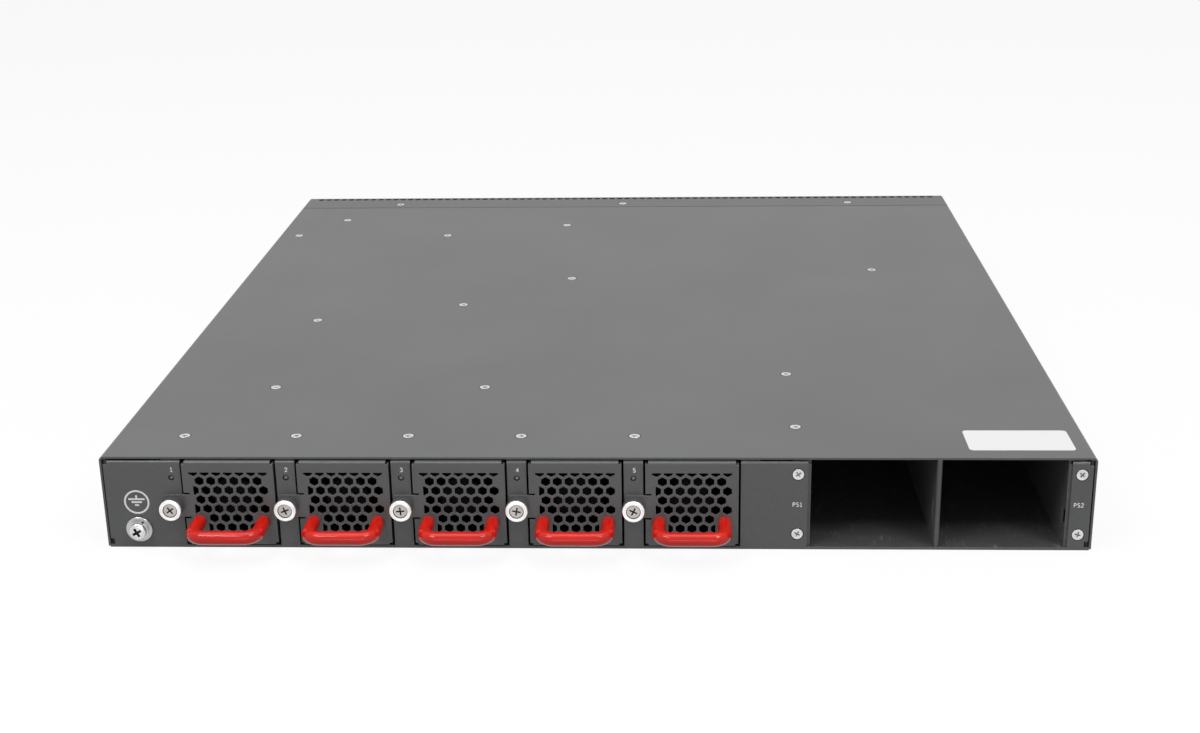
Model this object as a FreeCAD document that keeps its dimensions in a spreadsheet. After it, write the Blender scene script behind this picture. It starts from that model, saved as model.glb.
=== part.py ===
import FreeCAD, Part
import math
import os
import Sketcher

# A network router in one rack unit: a folded steel case with pull-out fan modules and two power supply
# bays at the rear, and port cages at the front.
# Frame: +Z up, the fan side faces -Y, the ports face +Y, origin at the centre of the underside.

FAN_COUNT = 5
BLADE_COUNT = 5
HUB_SIDES = 8
BORE_SIDES = 12
KNOB_SIDES = 16
FERRULE_SIDES = 10
BAR_SIDES = 8
HOLE_SIDES = 6
LIGHT_SIDES = 8
HEX_SIDES = 6
GRILLE_ROWS = 7
BEND_STEPS = 3
CAGE_ROWS = 2
SLOT_COUNT = 9
FIN_COUNT = 9

SIZES = {
    # Case
    "chassis_depth": 473.0,
    "cover_sheet": 1.0,
    "cover_bend": 2.0,
    "tray_sheet": 1.2,
    "cover_setback": 1.0,
    "side_recess": 0.8,
    "wall_setback": 3.0,
    "shell_gap": 0.2,
    "panel_gap": 0.7,
    "panel_bend": 0.9,
    "corner_notch": 1.7,
    "foot_notch": 3.0,
    "strip_depth": 26.0,
    "seam_gap": 1.0,
    # Rear panel, from left to right
    "left_panel": 34.65,
    "post_width": 8.6,
    "mid_panel": 29.4,
    "psu_reveal": 1.4,
    "psu_bay": 54.65,
    "psu_divider": 2.3,
    "right_post": 9.05,
    # Screw holes of the case
    "screw_radius": 1.5,
    "screw_slack": 0.1,
    "head_hole": 2.2,
    "rear_row": 26.4,
    "strip_row": 17.5,
    "strip_screw_x": 153.0,
    "psu_screw_x": 4.85,
    "psu_screw_near": 37.9,
    "psu_screw_far": 109.4,
    "panel_screw_x": 4.3,
    "panel_screw_low": 7.5,
    "panel_screw_high": 36.0,
    # Grounding point
    "ground_x": 13.6,
    "ground_height": 9.0,
    "ground_screw_radius": 2.0,
    "ground_head_radius": 4.0,
    "ground_head_depth": 2.6,
    "spring_washer_radius": 4.3,
    "flat_washer_radius": 5.95,
    "washer_sheet": 1.0,
    "ground_screw_length": 9.0,
    # Fan tray
    "fan_sheet": 1.0,
    "fan_bend": 0.9,
    "bay_gap": 0.95,
    "face_gap": 0.5,
    "flange_depth": 8.0,
    "side_depth": 36.0,
    "corner_relief": 1.3,
    "ear_length": 8.9,
    "ear_height": 10.7,
    "ear_relief": 0.9,
    "ear_relief_depth": 2.6,
    "hex_flats": 4.0,
    "hex_pitch": 5.2,
    "grille_row_height": 37.2,
    "grille_top": 36.9,
    "grille_left": 16.0,
    "grille_right": 17.7,
    "grille_low_half": 10.4,
    # Captive thumbscrew
    "thumb_height": 20.8,
    "thumb_slack": 0.25,
    "ferrule_radius": 4.6,
    "ferrule_depth": 1.8,
    "knob_radius": 5.0,
    "knob_depth": 3.7,
    "knob_gap": 0.3,
    "thumb_reach": 6.5,
    # Handle
    "handle_radius": 3.1,
    "handle_span": 29.0,
    "handle_reach": 18.0,
    "handle_height": 13.0,
    "handle_bend": 5.0,
    # Fan
    "fan_size": 38.0,
    "fan_depth": 28.0,
    "fan_setback": 3.0,
    "fan_gap_x": 0.5,
    "fan_gap_z": 0.2,
    "fan_wall": 1.0,
    "tip_gap": 1.0,
    "hub_radius": 10.0,
    "hub_depth": 17.0,
    "rotor_gap": 0.4,
    "motor_depth": 7.0,
    "strut_width": 2.5,
    "strut_depth": 3.0,
    "shaft_radius": 1.5,
    "shaft_slack": 0.05,
    "shaft_length": 10.0,
    "blade_sheet": 1.2,
    "blade_chord": 13.0,
    "blade_pitch": 38.0,
    "blade_root": 1.0,
    # Fan wiring
    "plug_width": 14.0,
    "plug_height": 7.0,
    "plug_depth": 14.0,
    "plug_lift": 5.0,
    "socket_gap": 0.4,
    "socket_wall": 2.0,
    "socket_depth": 10.0,
    "board_sheet": 1.6,
    "fan_board_height": 20.0,
    "divider_gap": 0.1,
    "divider_sheet": 1.0,
    "light_height": 33.9,
    "light_radius": 1.25,
    "light_slack": 0.05,
    "light_length": 9.0,
    # Power supply bays
    "psu_depth": 232.0,
    "psu_sheet": 1.0,
    "psu_flange": 7.5,
    "psu_lip": 0.3,
    "psu_window_setback": 1.0,
    "psu_window_depth": 6.5,
    "psu_window_low": 10.5,
    "psu_window_height": 7.5,
    "divider_window_lift": 3.0,
    "psu_relief": 1.4,
    "psu_socket_width": 38.0,
    "psu_socket_height": 13.0,
    "psu_socket_depth": 20.0,
    "psu_slot_width": 30.0,
    "psu_slot_height": 2.0,
    "psu_slot_depth": 9.0,
    "power_board_depth": 52.0,
    # Main board and what stands on it
    "board_lift": 5.0,
    "board_edge": 3.0,
    "board_gap": 2.0,
    "post_flats": 5.5,
    "post_slack": 0.5,
    "standoff_inset": 9.0,
    "chip_size": 45.0,
    "chip_height": 3.0,
    "switch_chip_left": 128.0,
    "switch_chip_front": 150.0,
    "sink_width": 92.0,
    "sink_length": 78.0,
    "sink_base": 4.0,
    "sink_height": 24.0,
    "fin_sheet": 1.2,
    "processor_size": 30.0,
    "processor_left": 300.0,
    "processor_front": 116.0,
    "memory_length": 70.0,
    "memory_height": 26.0,
    "memory_sheet": 4.0,
    "memory_right": 40.0,
    "memory_front": 140.0,
    # Front
    "brace_sheet": 1.2,
    "brace_depth": 14.0,
    "cage_wall": 0.6,
    "cage_height": 9.0,
    "cage_between": 3.0,
    "cage_depth": 50.0,
    "cage_gap": 0.3,
    "sfp_width": 14.0,
    "qsfp_width": 18.6,
    "sfp_block_x": 88.0,
    "sfp_block_pitch": 68.0,
    "qsfp_block_x": 30.0,
    "jack_x": 262.0,
    "jack_pitch": 24.0,
    "jack_width": 16.0,
    "jack_height": 13.6,
    "jack_depth": 20.0,
    "jack_mouth_width": 11.8,
    "jack_mouth_height": 8.4,
    "jack_mouth_depth": 14.0,
    "jack_floor": 1.6,
    "vent_x": 330.0,
    "vent_pitch": 9.0,
    "vent_width": 4.5,
    "vent_low": 9.0,
    "vent_height": 24.0,
    # Rack ear holes
    "rack_hole_radius": 2.1,
    "rack_hole_front": 42.0,
    "rack_hole_pitch": 28.0,
    "rack_hole_height": 22.0,
    "rack_hole_slack": 0.4,
    # Hex posts under the cover, each from a side and an end
    "cover_post_1_left": 60.2,
    "cover_post_1_rear": 90.7,
    "cover_post_2_left": 163.4,
    "cover_post_2_rear": 90.7,
    "cover_post_3_left": 60.0,
    "cover_post_3_rear": 197.5,
    "cover_post_4_left": 137.2,
    "cover_post_4_rear": 225.3,
    "cover_post_5_left": 195.3,
    "cover_post_5_front": 196.6,
    "cover_post_6_right": 67.6,
    "cover_post_6_power": 8.4,
    "cover_post_7_left": 109.6,
    "cover_post_7_front": 98.9,
    "cover_post_8_left": 13.0,
    "cover_post_8_front": 97.7,
    "cover_post_9_left": 185.2,
    "cover_post_9_front": 74.6,
    "cover_post_10_left": 37.7,
    "cover_post_10_front": 59.2,
}

# Hex posts that carry the cover's screws: the side and the end that each is measured from
COVER_POSTS = [
    ("left", "rear"),
    ("left", "rear"),
    ("left", "rear"),
    ("left", "rear"),
    ("left", "front"),
    ("right", "power"),
    ("left", "front"),
    ("left", "front"),
    ("left", "front"),
    ("left", "front"),
]

doc = FreeCAD.newDocument("router")
sheet = doc.addObject("Spreadsheet::Sheet", "Dims")
for row, (alias, value) in enumerate(SIZES.items(), start=1):
    sheet.set(f"A{row}", alias)
    sheet.set(f"B{row}", str(value))
    sheet.setAlias(f"B{row}", alias)
doc.recompute()


# Levels and places that follow from the sizes, written as expressions on the sheet

FAN_BAY = "(Dims.fan_size + 2 * (Dims.fan_gap_x + Dims.fan_sheet + Dims.bay_gap))"
FAN_PITCH = f"({FAN_BAY} + Dims.post_width)"
FLOOR = "Dims.tray_sheet"
INNER_HEIGHT = "(Dims.fan_size + 2 * (Dims.face_gap + Dims.fan_sheet + Dims.fan_gap_z))"
CEILING = f"({FLOOR} + {INNER_HEIGHT})"
TOP = f"({CEILING} + Dims.cover_sheet)"
REAR = "(-Dims.chassis_depth / 2)"
FRONT = "(Dims.chassis_depth / 2)"
PANEL_WIDTH = (
    f"(Dims.left_panel + {FAN_COUNT} * {FAN_PITCH} - Dims.post_width + Dims.mid_panel"
    " + 2 * (Dims.psu_bay + Dims.psu_reveal) + Dims.psu_divider + Dims.right_post)"
)
PANEL_HALF = f"({PANEL_WIDTH} / 2)"
SIDE = f"({PANEL_HALF} + Dims.side_recess + Dims.cover_sheet)"
WALL_OUT = f"({SIDE} - Dims.cover_sheet - Dims.shell_gap)"
WALL_IN = f"({WALL_OUT} - Dims.tray_sheet)"
PANEL_BACK = f"({REAR} + Dims.tray_sheet)"
PANEL_TOP = f"({CEILING} - Dims.panel_gap)"
FIRST_BAY = f"(-{PANEL_HALF} + Dims.left_panel)"
PSU_RIGHT = f"({PANEL_HALF} - Dims.right_post - Dims.psu_reveal)"
PSU_LEFT = f"({PSU_RIGHT} - 2 * Dims.psu_bay - Dims.psu_divider)"
PSU_MOUTH_LEFT = f"({PSU_LEFT} - Dims.psu_reveal)"
PSU_MOUTH_RIGHT = f"({PSU_RIGHT} + Dims.psu_reveal)"
PSU_END = f"({REAR} + Dims.psu_depth)"
FACE_HALF = f"({FAN_BAY} / 2 - Dims.bay_gap)"
FACE_LOW = f"({FLOOR} + Dims.face_gap)"
FACE_HIGH = f"({CEILING} - Dims.face_gap)"
FAN_LOW = f"({FACE_LOW} + Dims.fan_sheet + Dims.fan_gap_z)"
FAN_MIDDLE = f"({FAN_LOW} + Dims.fan_size / 2)"
FAN_BACK = "(Dims.fan_setback + Dims.fan_depth)"
FAN_BOARD = f"({FAN_BACK} + Dims.plug_depth + Dims.socket_gap + Dims.socket_wall)"
BOARD_LOW = f"({FLOOR} + Dims.board_lift)"
BOARD_TOP = f"({BOARD_LOW} + Dims.board_sheet)"
BOARD_REAR = f"({REAR} + {FAN_BOARD} + Dims.board_sheet + Dims.board_gap)"
BOARD_FRONT = f"({FRONT} - Dims.cover_sheet - Dims.board_gap)"
BOARD_LEFT = f"(-{WALL_IN} + Dims.board_edge)"
BOARD_RIGHT = f"({WALL_IN} - Dims.board_edge)"
BOARD_STEP_X = f"({PSU_LEFT} - Dims.psu_flange - Dims.board_edge)"
BOARD_STEP_Y = f"({PSU_END} + Dims.power_board_depth + 2 * Dims.board_gap)"
CAGE_BLOCK_HEIGHT = (
    f"({CAGE_ROWS} * (Dims.cage_height + Dims.cage_wall) + {CAGE_ROWS - 1} * Dims.cage_between)"
)


def value(expression):
    """The number that an expression on the sheet comes to."""
    return float(sheet.evalExpression(expression))


def fan_x(number):
    return f"({FIRST_BAY} + {FAN_BAY} / 2 + {number} * {FAN_PITCH})"


def post_x(number):
    return f"({fan_x(number)} - {FAN_PITCH} / 2)"


def cover_post_place(number):
    """Where a hex post stands, from the side and the end it is measured from."""
    side, end = COVER_POSTS[number]
    across = f"Dims.cover_post_{number + 1}_{side}"
    along = f"Dims.cover_post_{number + 1}_{end}"
    x = f"(-{SIDE} + {across})" if side == "left" else f"({SIDE} - {across})"
    starts = {
        "rear": f"({REAR} + {along})",
        "front": f"({FRONT} - {along})",
        "power": f"({PSU_END} + Dims.power_board_depth + {along})",
    }
    return x, starts[end]


# Shorthands for the document's objects

TURN = {
    "x": FreeCAD.Rotation(FreeCAD.Vector(0, 1, 0), 90),
    "y": FreeCAD.Rotation(FreeCAD.Vector(1, 0, 0), -90),
    "z": FreeCAD.Rotation(),
}


def bind(thing, **expressions):
    for name, expression in expressions.items():
        thing.setExpression(name, expression)


def place(thing, x, y, z):
    for axis, expression in zip("xyz", (x, y, z)):
        thing.setExpression(f"Placement.Base.{axis}", expression)


def slab(name, low, high):
    """A block between two corners."""
    block = doc.addObject("Part::Box", name)
    for side, start, end in zip(("Length", "Width", "Height"), low, high):
        block.setExpression(side, f"{end} - ({start})")
    place(block, *low)
    return block


def rod(name, axis, start, length, radius):
    """A cylinder that starts at a point and runs along +axis."""
    cylinder = doc.addObject("Part::Cylinder", name)
    cylinder.Placement = FreeCAD.Placement(FreeCAD.Vector(), TURN[axis])
    bind(cylinder, Radius=radius, Height=length)
    place(cylinder, *start)
    return cylinder


def prism(name, axis, start, length, radius, sides):
    """A regular prism that starts at a point and runs along +axis, by the radius to its corners."""
    polygon = doc.addObject("Part::Prism", name)
    polygon.Polygon = sides
    polygon.Placement = FreeCAD.Placement(FreeCAD.Vector(), TURN[axis])
    bind(polygon, Circumradius=radius, Height=length)
    place(polygon, *start)
    return polygon


def hole(name, axis, start, length, radius, sides=HOLE_SIDES):
    """The tool for a hole: a prism whose flats touch the circle of the radius."""
    return prism(name, axis, start, length, f"({radius}) / cos({180 / sides})", sides)


def fuse(name, pieces):
    joined = doc.addObject("Part::MultiFuse", name)
    joined.Shapes = pieces
    joined.Refine = True
    return joined


def group(name, pieces):
    """Separate solids that share one node."""
    compound = doc.addObject("Part::Compound", name)
    compound.Links = pieces
    return compound


def cut(name, base, tools):
    rest = doc.addObject("Part::Cut", name)
    rest.Base = base
    rest.Tool = group(f"{name}_tools", tools) if len(tools) > 1 else tools[0]
    rest.Refine = True
    return rest


def plane(body, role):
    return next(feature for feature in body.Origin.OriginFeatures if feature.Role == role)


def sketch_on(body, name, role, height="0"):
    """An empty sketch on one of the body's own planes, moved along the plane's normal."""
    sketch = body.newObject("Sketcher::SketchObject", name)
    sketch.AttachmentSupport = (plane(body, role), [""])
    sketch.MapMode = "FlatFace"
    sketch.setExpression("AttachmentOffset.Base.z", height)
    return sketch


def pin_point(sketch, geometry, point, x, y):
    """Holds a point of the sketch at two expressions, measured from the sketch's origin."""
    for kind, expression in (("DistanceX", x), ("DistanceY", y)):
        constraint = Sketcher.Constraint(kind, -1, 1, geometry, point, value(expression))
        index = sketch.addConstraint(constraint)
        sketch.setExpression(f"Constraints[{index}]", expression)


def polyline(sketch, points, closed=True):
    """Straight runs through points given as pairs of expressions."""
    corners = [FreeCAD.Vector(value(x), value(y), 0) for x, y in points]
    runs = len(points) if closed else len(points) - 1
    first = sketch.GeometryCount
    for run in range(runs):
        sketch.addGeometry(Part.LineSegment(corners[run], corners[(run + 1) % len(points)]))
    for run in range(runs if closed else runs - 1):
        following = first + (run + 1) % len(points)
        sketch.addConstraint(Sketcher.Constraint("Coincident", first + run, 2, following, 1))
    for index, (x, y) in enumerate(points):
        geometry, point = (first + index, 1) if index < runs else (first + index - 1, 2)
        pin_point(sketch, geometry, point, x, y)


def rectangle(sketch, left, low, right, high):
    polyline(sketch, [(left, low), (right, low), (right, high), (left, high)])


def polygon(sketch, x, y, radius, sides):
    """A regular polygon by its centre and the radius to its corners."""
    corners = []
    for corner in range(sides):
        angle = 360 * corner / sides
        corners.append((f"({x} + {radius} * cos({angle}))", f"({y} + {radius} * sin({angle}))"))
    polyline(sketch, corners)


def pad(body, name, sketch, length, backwards=False):
    feature = body.newObject("PartDesign::Pad", name)
    feature.Profile = sketch
    feature.Reversed = backwards
    feature.setExpression("Length", length)
    return feature


def pocket(body, name, sketch, length, backwards=False):
    """Cuts a sketch into the body, and makes sure that it cut something."""
    doc.recompute()
    before = body.Shape.Volume
    feature = body.newObject("PartDesign::Pocket", name)
    feature.Profile = sketch
    feature.Reversed = backwards
    feature.setExpression("Length", length)
    doc.recompute()
    if body.Shape.Volume >= before:
        raise ValueError(f"{name} cuts nothing")
    return feature


def head_holes(name, centres):
    """Tools for the holes in the top sheet that take the heads of its flat screws."""
    return [
        hole(f"{name}_{index}", "z", (x, y, f"({CEILING} - 1)"), "Dims.cover_sheet + 2", "Dims.head_hole")
        for index, (x, y) in enumerate(centres)
    ]


def folded_shell(name, start, end, closed_front):
    """The case's outer section as one folded sheet, open below and behind, and in front unless closed."""
    body = doc.addObject("PartDesign::Body", name)
    section = sketch_on(body, f"{name}_section", "XZ_Plane", f"-({start})")
    rectangle(section, f"-{SIDE}", "0", SIDE, TOP)
    block = pad(body, f"{name}_block", section, f"{end} - ({start})", backwards=True)
    doc.recompute()
    top = value(TOP)
    depth = block.Shape.BoundBox.YLength
    bends = [
        f"Edge{index}"
        for index, edge in enumerate(block.Shape.Edges, start=1)
        if edge.BoundBox.ZMin > top - 0.01 and edge.BoundBox.YLength > 0.9 * depth
    ]
    rounded = body.newObject("PartDesign::Fillet", f"{name}_bends")
    rounded.Base = (block, bends)
    rounded.setExpression("Radius", "Dims.cover_bend")
    doc.recompute()
    limits = rounded.Shape.BoundBox
    opened = []
    for index, face in enumerate(rounded.Shape.Faces, start=1):
        extent = face.BoundBox
        below = extent.ZMax < limits.ZMin + 0.01
        behind = extent.YMax < limits.YMin + 0.01
        ahead = extent.YMin > limits.YMax - 0.01 and not closed_front
        if below or behind or ahead:
            opened.append(f"Face{index}")
    shell = body.newObject("PartDesign::Thickness", f"{name}_sheet")
    shell.Base = (rounded, opened)
    shell.Reversed = True
    shell.setExpression("Value", "Dims.cover_sheet")
    doc.recompute()
    return body


# Places that several pieces share

REAR_ROW = [(post_x(number), f"({REAR} + Dims.rear_row)") for number in range(FAN_COUNT)]
PSU_ROW = [
    (f"({PSU_LEFT} - Dims.psu_screw_x)", f"({REAR} + Dims.psu_screw_{name})") for name in ("near", "far")
]
POST_ROW = [cover_post_place(number) for number in range(len(COVER_POSTS))]
STRIP_ROW = [(f"({sign} * Dims.strip_screw_x)", f"({FRONT} - Dims.strip_row)") for sign in (-1, 0, 1)]
PANEL_SCREWS = [
    (x, height)
    for x in (f"({PSU_MOUTH_LEFT} - Dims.panel_screw_x)", f"({PSU_MOUTH_RIGHT} + Dims.panel_screw_x)")
    for height in ("Dims.panel_screw_low", "Dims.panel_screw_high")
]
RACK_HOLES = [f"({FRONT} - Dims.rack_hole_front - {step} * Dims.rack_hole_pitch)" for step in (0, 1)]
GROUND_X = f"(-{PANEL_HALF} + Dims.ground_x)"
POST_RADIUS = "Dims.post_flats / cos(30) / 2"


def rack_hole_tools(name, tool, radius):
    """Tools across the whole case for the rack ear holes in both sides."""
    length = f"2 * {SIDE} + 2"
    return [
        tool(f"{name}_rack_hole_{index}", "x", (f"-{SIDE} - 1", y, "Dims.rack_hole_height"), length, radius)
        for index, y in enumerate(RACK_HOLES)
    ]


# Case

def make_base_tray():
    """Floor, side walls and the rear panel's posts, folded from one sheet."""
    walls_front = f"({FRONT} - Dims.cover_sheet - Dims.shell_gap)"
    sheets = [slab("tray_floor", (f"-{WALL_OUT}", REAR, "0"), (WALL_OUT, walls_front, FLOOR))]
    for name, low, high in (("left", f"-{WALL_OUT}", f"-{WALL_IN}"), ("right", WALL_IN, WALL_OUT)):
        start = (low, f"({REAR} + Dims.wall_setback)", "0")
        sheets.append(slab(f"tray_{name}_wall", start, (high, walls_front, PANEL_TOP)))
    panels = [(f"-{PANEL_HALF}", FIRST_BAY)]
    for number in range(1, FAN_COUNT):
        x = post_x(number)
        panels.append((f"({x} - Dims.post_width / 2)", f"({x} + Dims.post_width / 2)"))
    panels.append((f"({PSU_MOUTH_LEFT} - Dims.mid_panel)", PSU_MOUTH_LEFT))
    panels.append((PSU_MOUTH_RIGHT, PANEL_HALF))
    for index, (low, high) in enumerate(panels):
        sheets.append(slab(f"tray_panel_{index}", (low, REAR, "0"), (high, PANEL_BACK, PANEL_TOP)))
    blank = fuse("tray_blank", sheets)
    doc.recompute()
    folded = doc.addObject("Part::Fillet", "tray_folded")
    folded.Base = blank
    radius = value("Dims.panel_bend")
    folded.Edges = [(index, radius, radius) for index in panel_top_edges(blank.Shape)]
    through = f"({REAR} - 1)"
    length = "Dims.tray_sheet + 2"
    holes = rack_hole_tools("tray", hole, "Dims.rack_hole_radius + Dims.rack_hole_slack") + corner_notches()
    for number in range(FAN_COUNT):
        x = post_x(number)
        holes.append(
            hole(f"tray_thumb_hole_{number}", "y", (x, through, "Dims.thumb_height"), length,
                 "Dims.screw_radius + Dims.thumb_slack"))
        holes.append(
            hole(f"tray_light_hole_{number}", "y", (x, through, "Dims.light_height"), length,
                 "Dims.light_radius + Dims.light_slack", LIGHT_SIDES))
    for index, (x, z) in enumerate(PANEL_SCREWS):
        holes.append(hole(f"tray_screw_hole_{index}", "y", (x, through, z), length, "Dims.head_hole"))
    holes.append(
        hole("tray_ground_hole", "y", (GROUND_X, through, "Dims.ground_height"), length,
             "Dims.ground_screw_radius + Dims.screw_slack"))
    return cut("base_tray", folded, holes)


def panel_top_edges(shape):
    """The outer top edges of the rear panel and its posts, where the sheet folds over."""
    rear, top = value(REAR), value(PANEL_TOP)
    found = []
    for index, edge in enumerate(shape.Edges, start=1):
        extent = edge.BoundBox
        if max(abs(extent.YMax - rear), abs(extent.ZMin - top), extent.YLength, extent.ZLength) < 0.01:
            found.append(index)
    return found


def corner_notches():
    """Bend reliefs in the outer corners of the rear panel, above and below."""
    notches = []
    inner = f"({PANEL_HALF} - Dims.corner_notch)"
    outer = f"({PANEL_HALF} + 0.1)"
    ahead, back = f"({REAR} - 1)", f"({PANEL_BACK} + 0.1)"
    for side, low, high in (("left", f"-{outer}", f"-{inner}"), ("right", inner, outer)):
        for level, start, end in (
            ("low", FLOOR, f"({FLOOR} + Dims.foot_notch)"),
            ("high", f"({PANEL_TOP} - Dims.corner_notch)", f"({PANEL_TOP} + 1)"),
        ):
            notches.append(slab(f"tray_{side}_{level}_notch", (low, ahead, start), (high, back, end)))
    return notches


def make_top_cover():
    """Top and both sides in one folded sheet, with its screw holes and the rack ear holes."""
    end = f"({FRONT} - Dims.strip_depth - Dims.seam_gap)"
    body = folded_shell("cover_shell", f"({REAR} + Dims.cover_setback)", end, closed_front=False)
    tools = head_holes("cover_hole", REAR_ROW + PSU_ROW + POST_ROW)
    return cut("top_cover", body, tools + rack_hole_tools("cover", rod, "Dims.rack_hole_radius"))


def make_front_cap():
    """The front face with its top and side flanges, cut out for the ports and vents."""
    body = folded_shell("front_shell", f"({FRONT} - Dims.strip_depth)", FRONT, closed_front=True)
    windows = sketch_on(body, "front_windows", "XZ_Plane", f"-{FRONT}")
    low = f"({BOARD_TOP} - Dims.cage_gap)"
    for x, width in PORT_BLOCKS:
        half = f"({width} / 2 + Dims.cage_gap)"
        high = f"({BOARD_TOP} + {CAGE_BLOCK_HEIGHT} + Dims.cage_gap)"
        rectangle(windows, f"({x} - {half})", low, f"({x} + {half})", high)
    for x in JACK_PLACES:
        half = "(Dims.jack_width / 2 + Dims.cage_gap)"
        high = f"({BOARD_TOP} + Dims.jack_height + Dims.cage_gap)"
        rectangle(windows, f"({x} - {half})", low, f"({x} + {half})", high)
    for slot in range(SLOT_COUNT):
        left = f"(-{SIDE} + Dims.vent_x + {slot} * Dims.vent_pitch)"
        right = f"({left} + Dims.vent_width)"
        rectangle(windows, left, "Dims.vent_low", right, "Dims.vent_low + Dims.vent_height")
    pocket(body, "front_openings", windows, "Dims.cover_sheet + 1", backwards=True)
    return cut("front_panel", body, head_holes("front_hole", STRIP_ROW))


def make_front_brace():
    """A strap under the front flange, folded down to the floor at both ends."""
    back = f"({FRONT} - Dims.strip_row - Dims.brace_depth / 2)"
    ahead = f"({FRONT} - Dims.strip_row + Dims.brace_depth / 2)"
    under = f"({CEILING} - Dims.brace_sheet)"
    strap = [slab("brace_top", (f"-{WALL_IN}", back, under), (WALL_IN, ahead, CEILING))]
    for name, low, high in (
        ("left", f"-{WALL_IN}", f"(-{WALL_IN} + Dims.brace_sheet)"),
        ("right", f"({WALL_IN} - Dims.brace_sheet)", WALL_IN),
    ):
        strap.append(slab(f"brace_{name}_leg", (low, back, FLOOR), (high, ahead, CEILING)))
    return fuse("front_brace", strap)


def washer(name, back, radius):
    """A washer on the grounding screw, by how far its back stands off the panel."""
    start = (GROUND_X, f"({REAR} - Dims.washer_sheet - {back})", "Dims.ground_height")
    disc = prism(f"{name}_disc", "y", start, "Dims.washer_sheet", radius, KNOB_SIDES)
    bore_radius = "Dims.ground_screw_radius + Dims.screw_slack"
    bore = hole(f"{name}_bore", "y", start, "Dims.washer_sheet", bore_radius)
    return cut(name, disc, [bore])


def make_ground_screw():
    seat = f"({REAR} - 2 * Dims.washer_sheet)"
    start = (GROUND_X, f"({seat} - Dims.ground_head_depth)", "Dims.ground_height")
    head = prism("ground_head", "y", start, "Dims.ground_head_depth", "Dims.ground_head_radius", KNOB_SIDES)
    shank = prism("ground_shank", "y", start, "Dims.ground_head_depth + Dims.ground_screw_length",
                  "Dims.ground_screw_radius", HOLE_SIDES)
    return fuse("ground_screw", [head, shank])


# Fan bays

def make_fan_dividers():
    """Channels behind the posts, open below, that guide the fan modules and carry the cover's rear row."""
    channels = []
    end = f"({REAR} + {FAN_BOARD} - Dims.socket_gap)"
    half = "(Dims.post_width / 2 - Dims.divider_gap)"
    inner = f"({half} - Dims.divider_sheet)"
    for number in range(FAN_COUNT + 1):
        x = post_x(number)
        block = slab(f"divider_block_{number}", (f"({x} - {half})", PANEL_BACK, FLOOR),
                     (f"({x} + {half})", end, CEILING))
        start = (f"({x} - {inner})", f"({PANEL_BACK} - 1)", f"({FLOOR} - 1)")
        hollow = slab(f"divider_hollow_{number}", start,
                      (f"({x} + {inner})", f"({end} + 1)", f"({CEILING} - Dims.divider_sheet)"))
        channels.append(cut(f"divider_{number}", block, [hollow]))
    return group("fan_dividers", channels)


def make_fan_lights():
    """Light pipes in the posts, one for each fan."""
    pipes = [
        prism(f"light_{number}", "y", (post_x(number), REAR, "Dims.light_height"), "Dims.light_length",
              "Dims.light_radius", HEX_SIDES)
        for number in range(FAN_COUNT)
    ]
    return group("fan_lights", pipes)


def make_fan_board():
    low = (f"({fan_x(0)} - {FACE_HALF})", f"({REAR} + {FAN_BOARD})", FLOOR)
    high = (f"({fan_x(FAN_COUNT - 1)} + {FACE_HALF})", f"({REAR} + {FAN_BOARD} + Dims.board_sheet)",
            f"({FLOOR} + Dims.fan_board_height)")
    return slab("fan_board", low, high)


def make_fan_sockets():
    """Sockets on the fan board that take the modules' plugs."""
    sockets = []
    for number in range(FAN_COUNT):
        x = fan_x(number)
        half = "(Dims.plug_width / 2 + Dims.socket_gap)"
        low = "(Dims.plug_lift - Dims.socket_gap)"
        high = "(Dims.plug_lift + Dims.plug_height + Dims.socket_gap)"
        mouth = f"({REAR} + {FAN_BOARD} - Dims.socket_depth)"
        back = f"({REAR} + {FAN_BOARD})"
        wall = "Dims.socket_wall"
        block = slab(f"socket_block_{number}", (f"({x} - {half} - {wall})", mouth, f"({low} - {wall})"),
                     (f"({x} + {half} + {wall})", back, f"({high} + {wall})"))
        hollow = slab(f"socket_hollow_{number}", (f"({x} - {half})", f"({mouth} - 1)", low),
                      (f"({x} + {half})", f"({back} - {wall})", high))
        sockets.append(cut(f"socket_{number}", block, [hollow]))
    return group("fan_sockets", sockets)


# Fan modules, each modelled with the fan's middle at x = 0 and the rear panel's face at y = 0

def in_bay(thing, number):
    """Moves a piece of a fan module from the module's own frame into its bay."""
    place(thing, fan_x(number), REAR, "0")
    return thing


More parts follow.
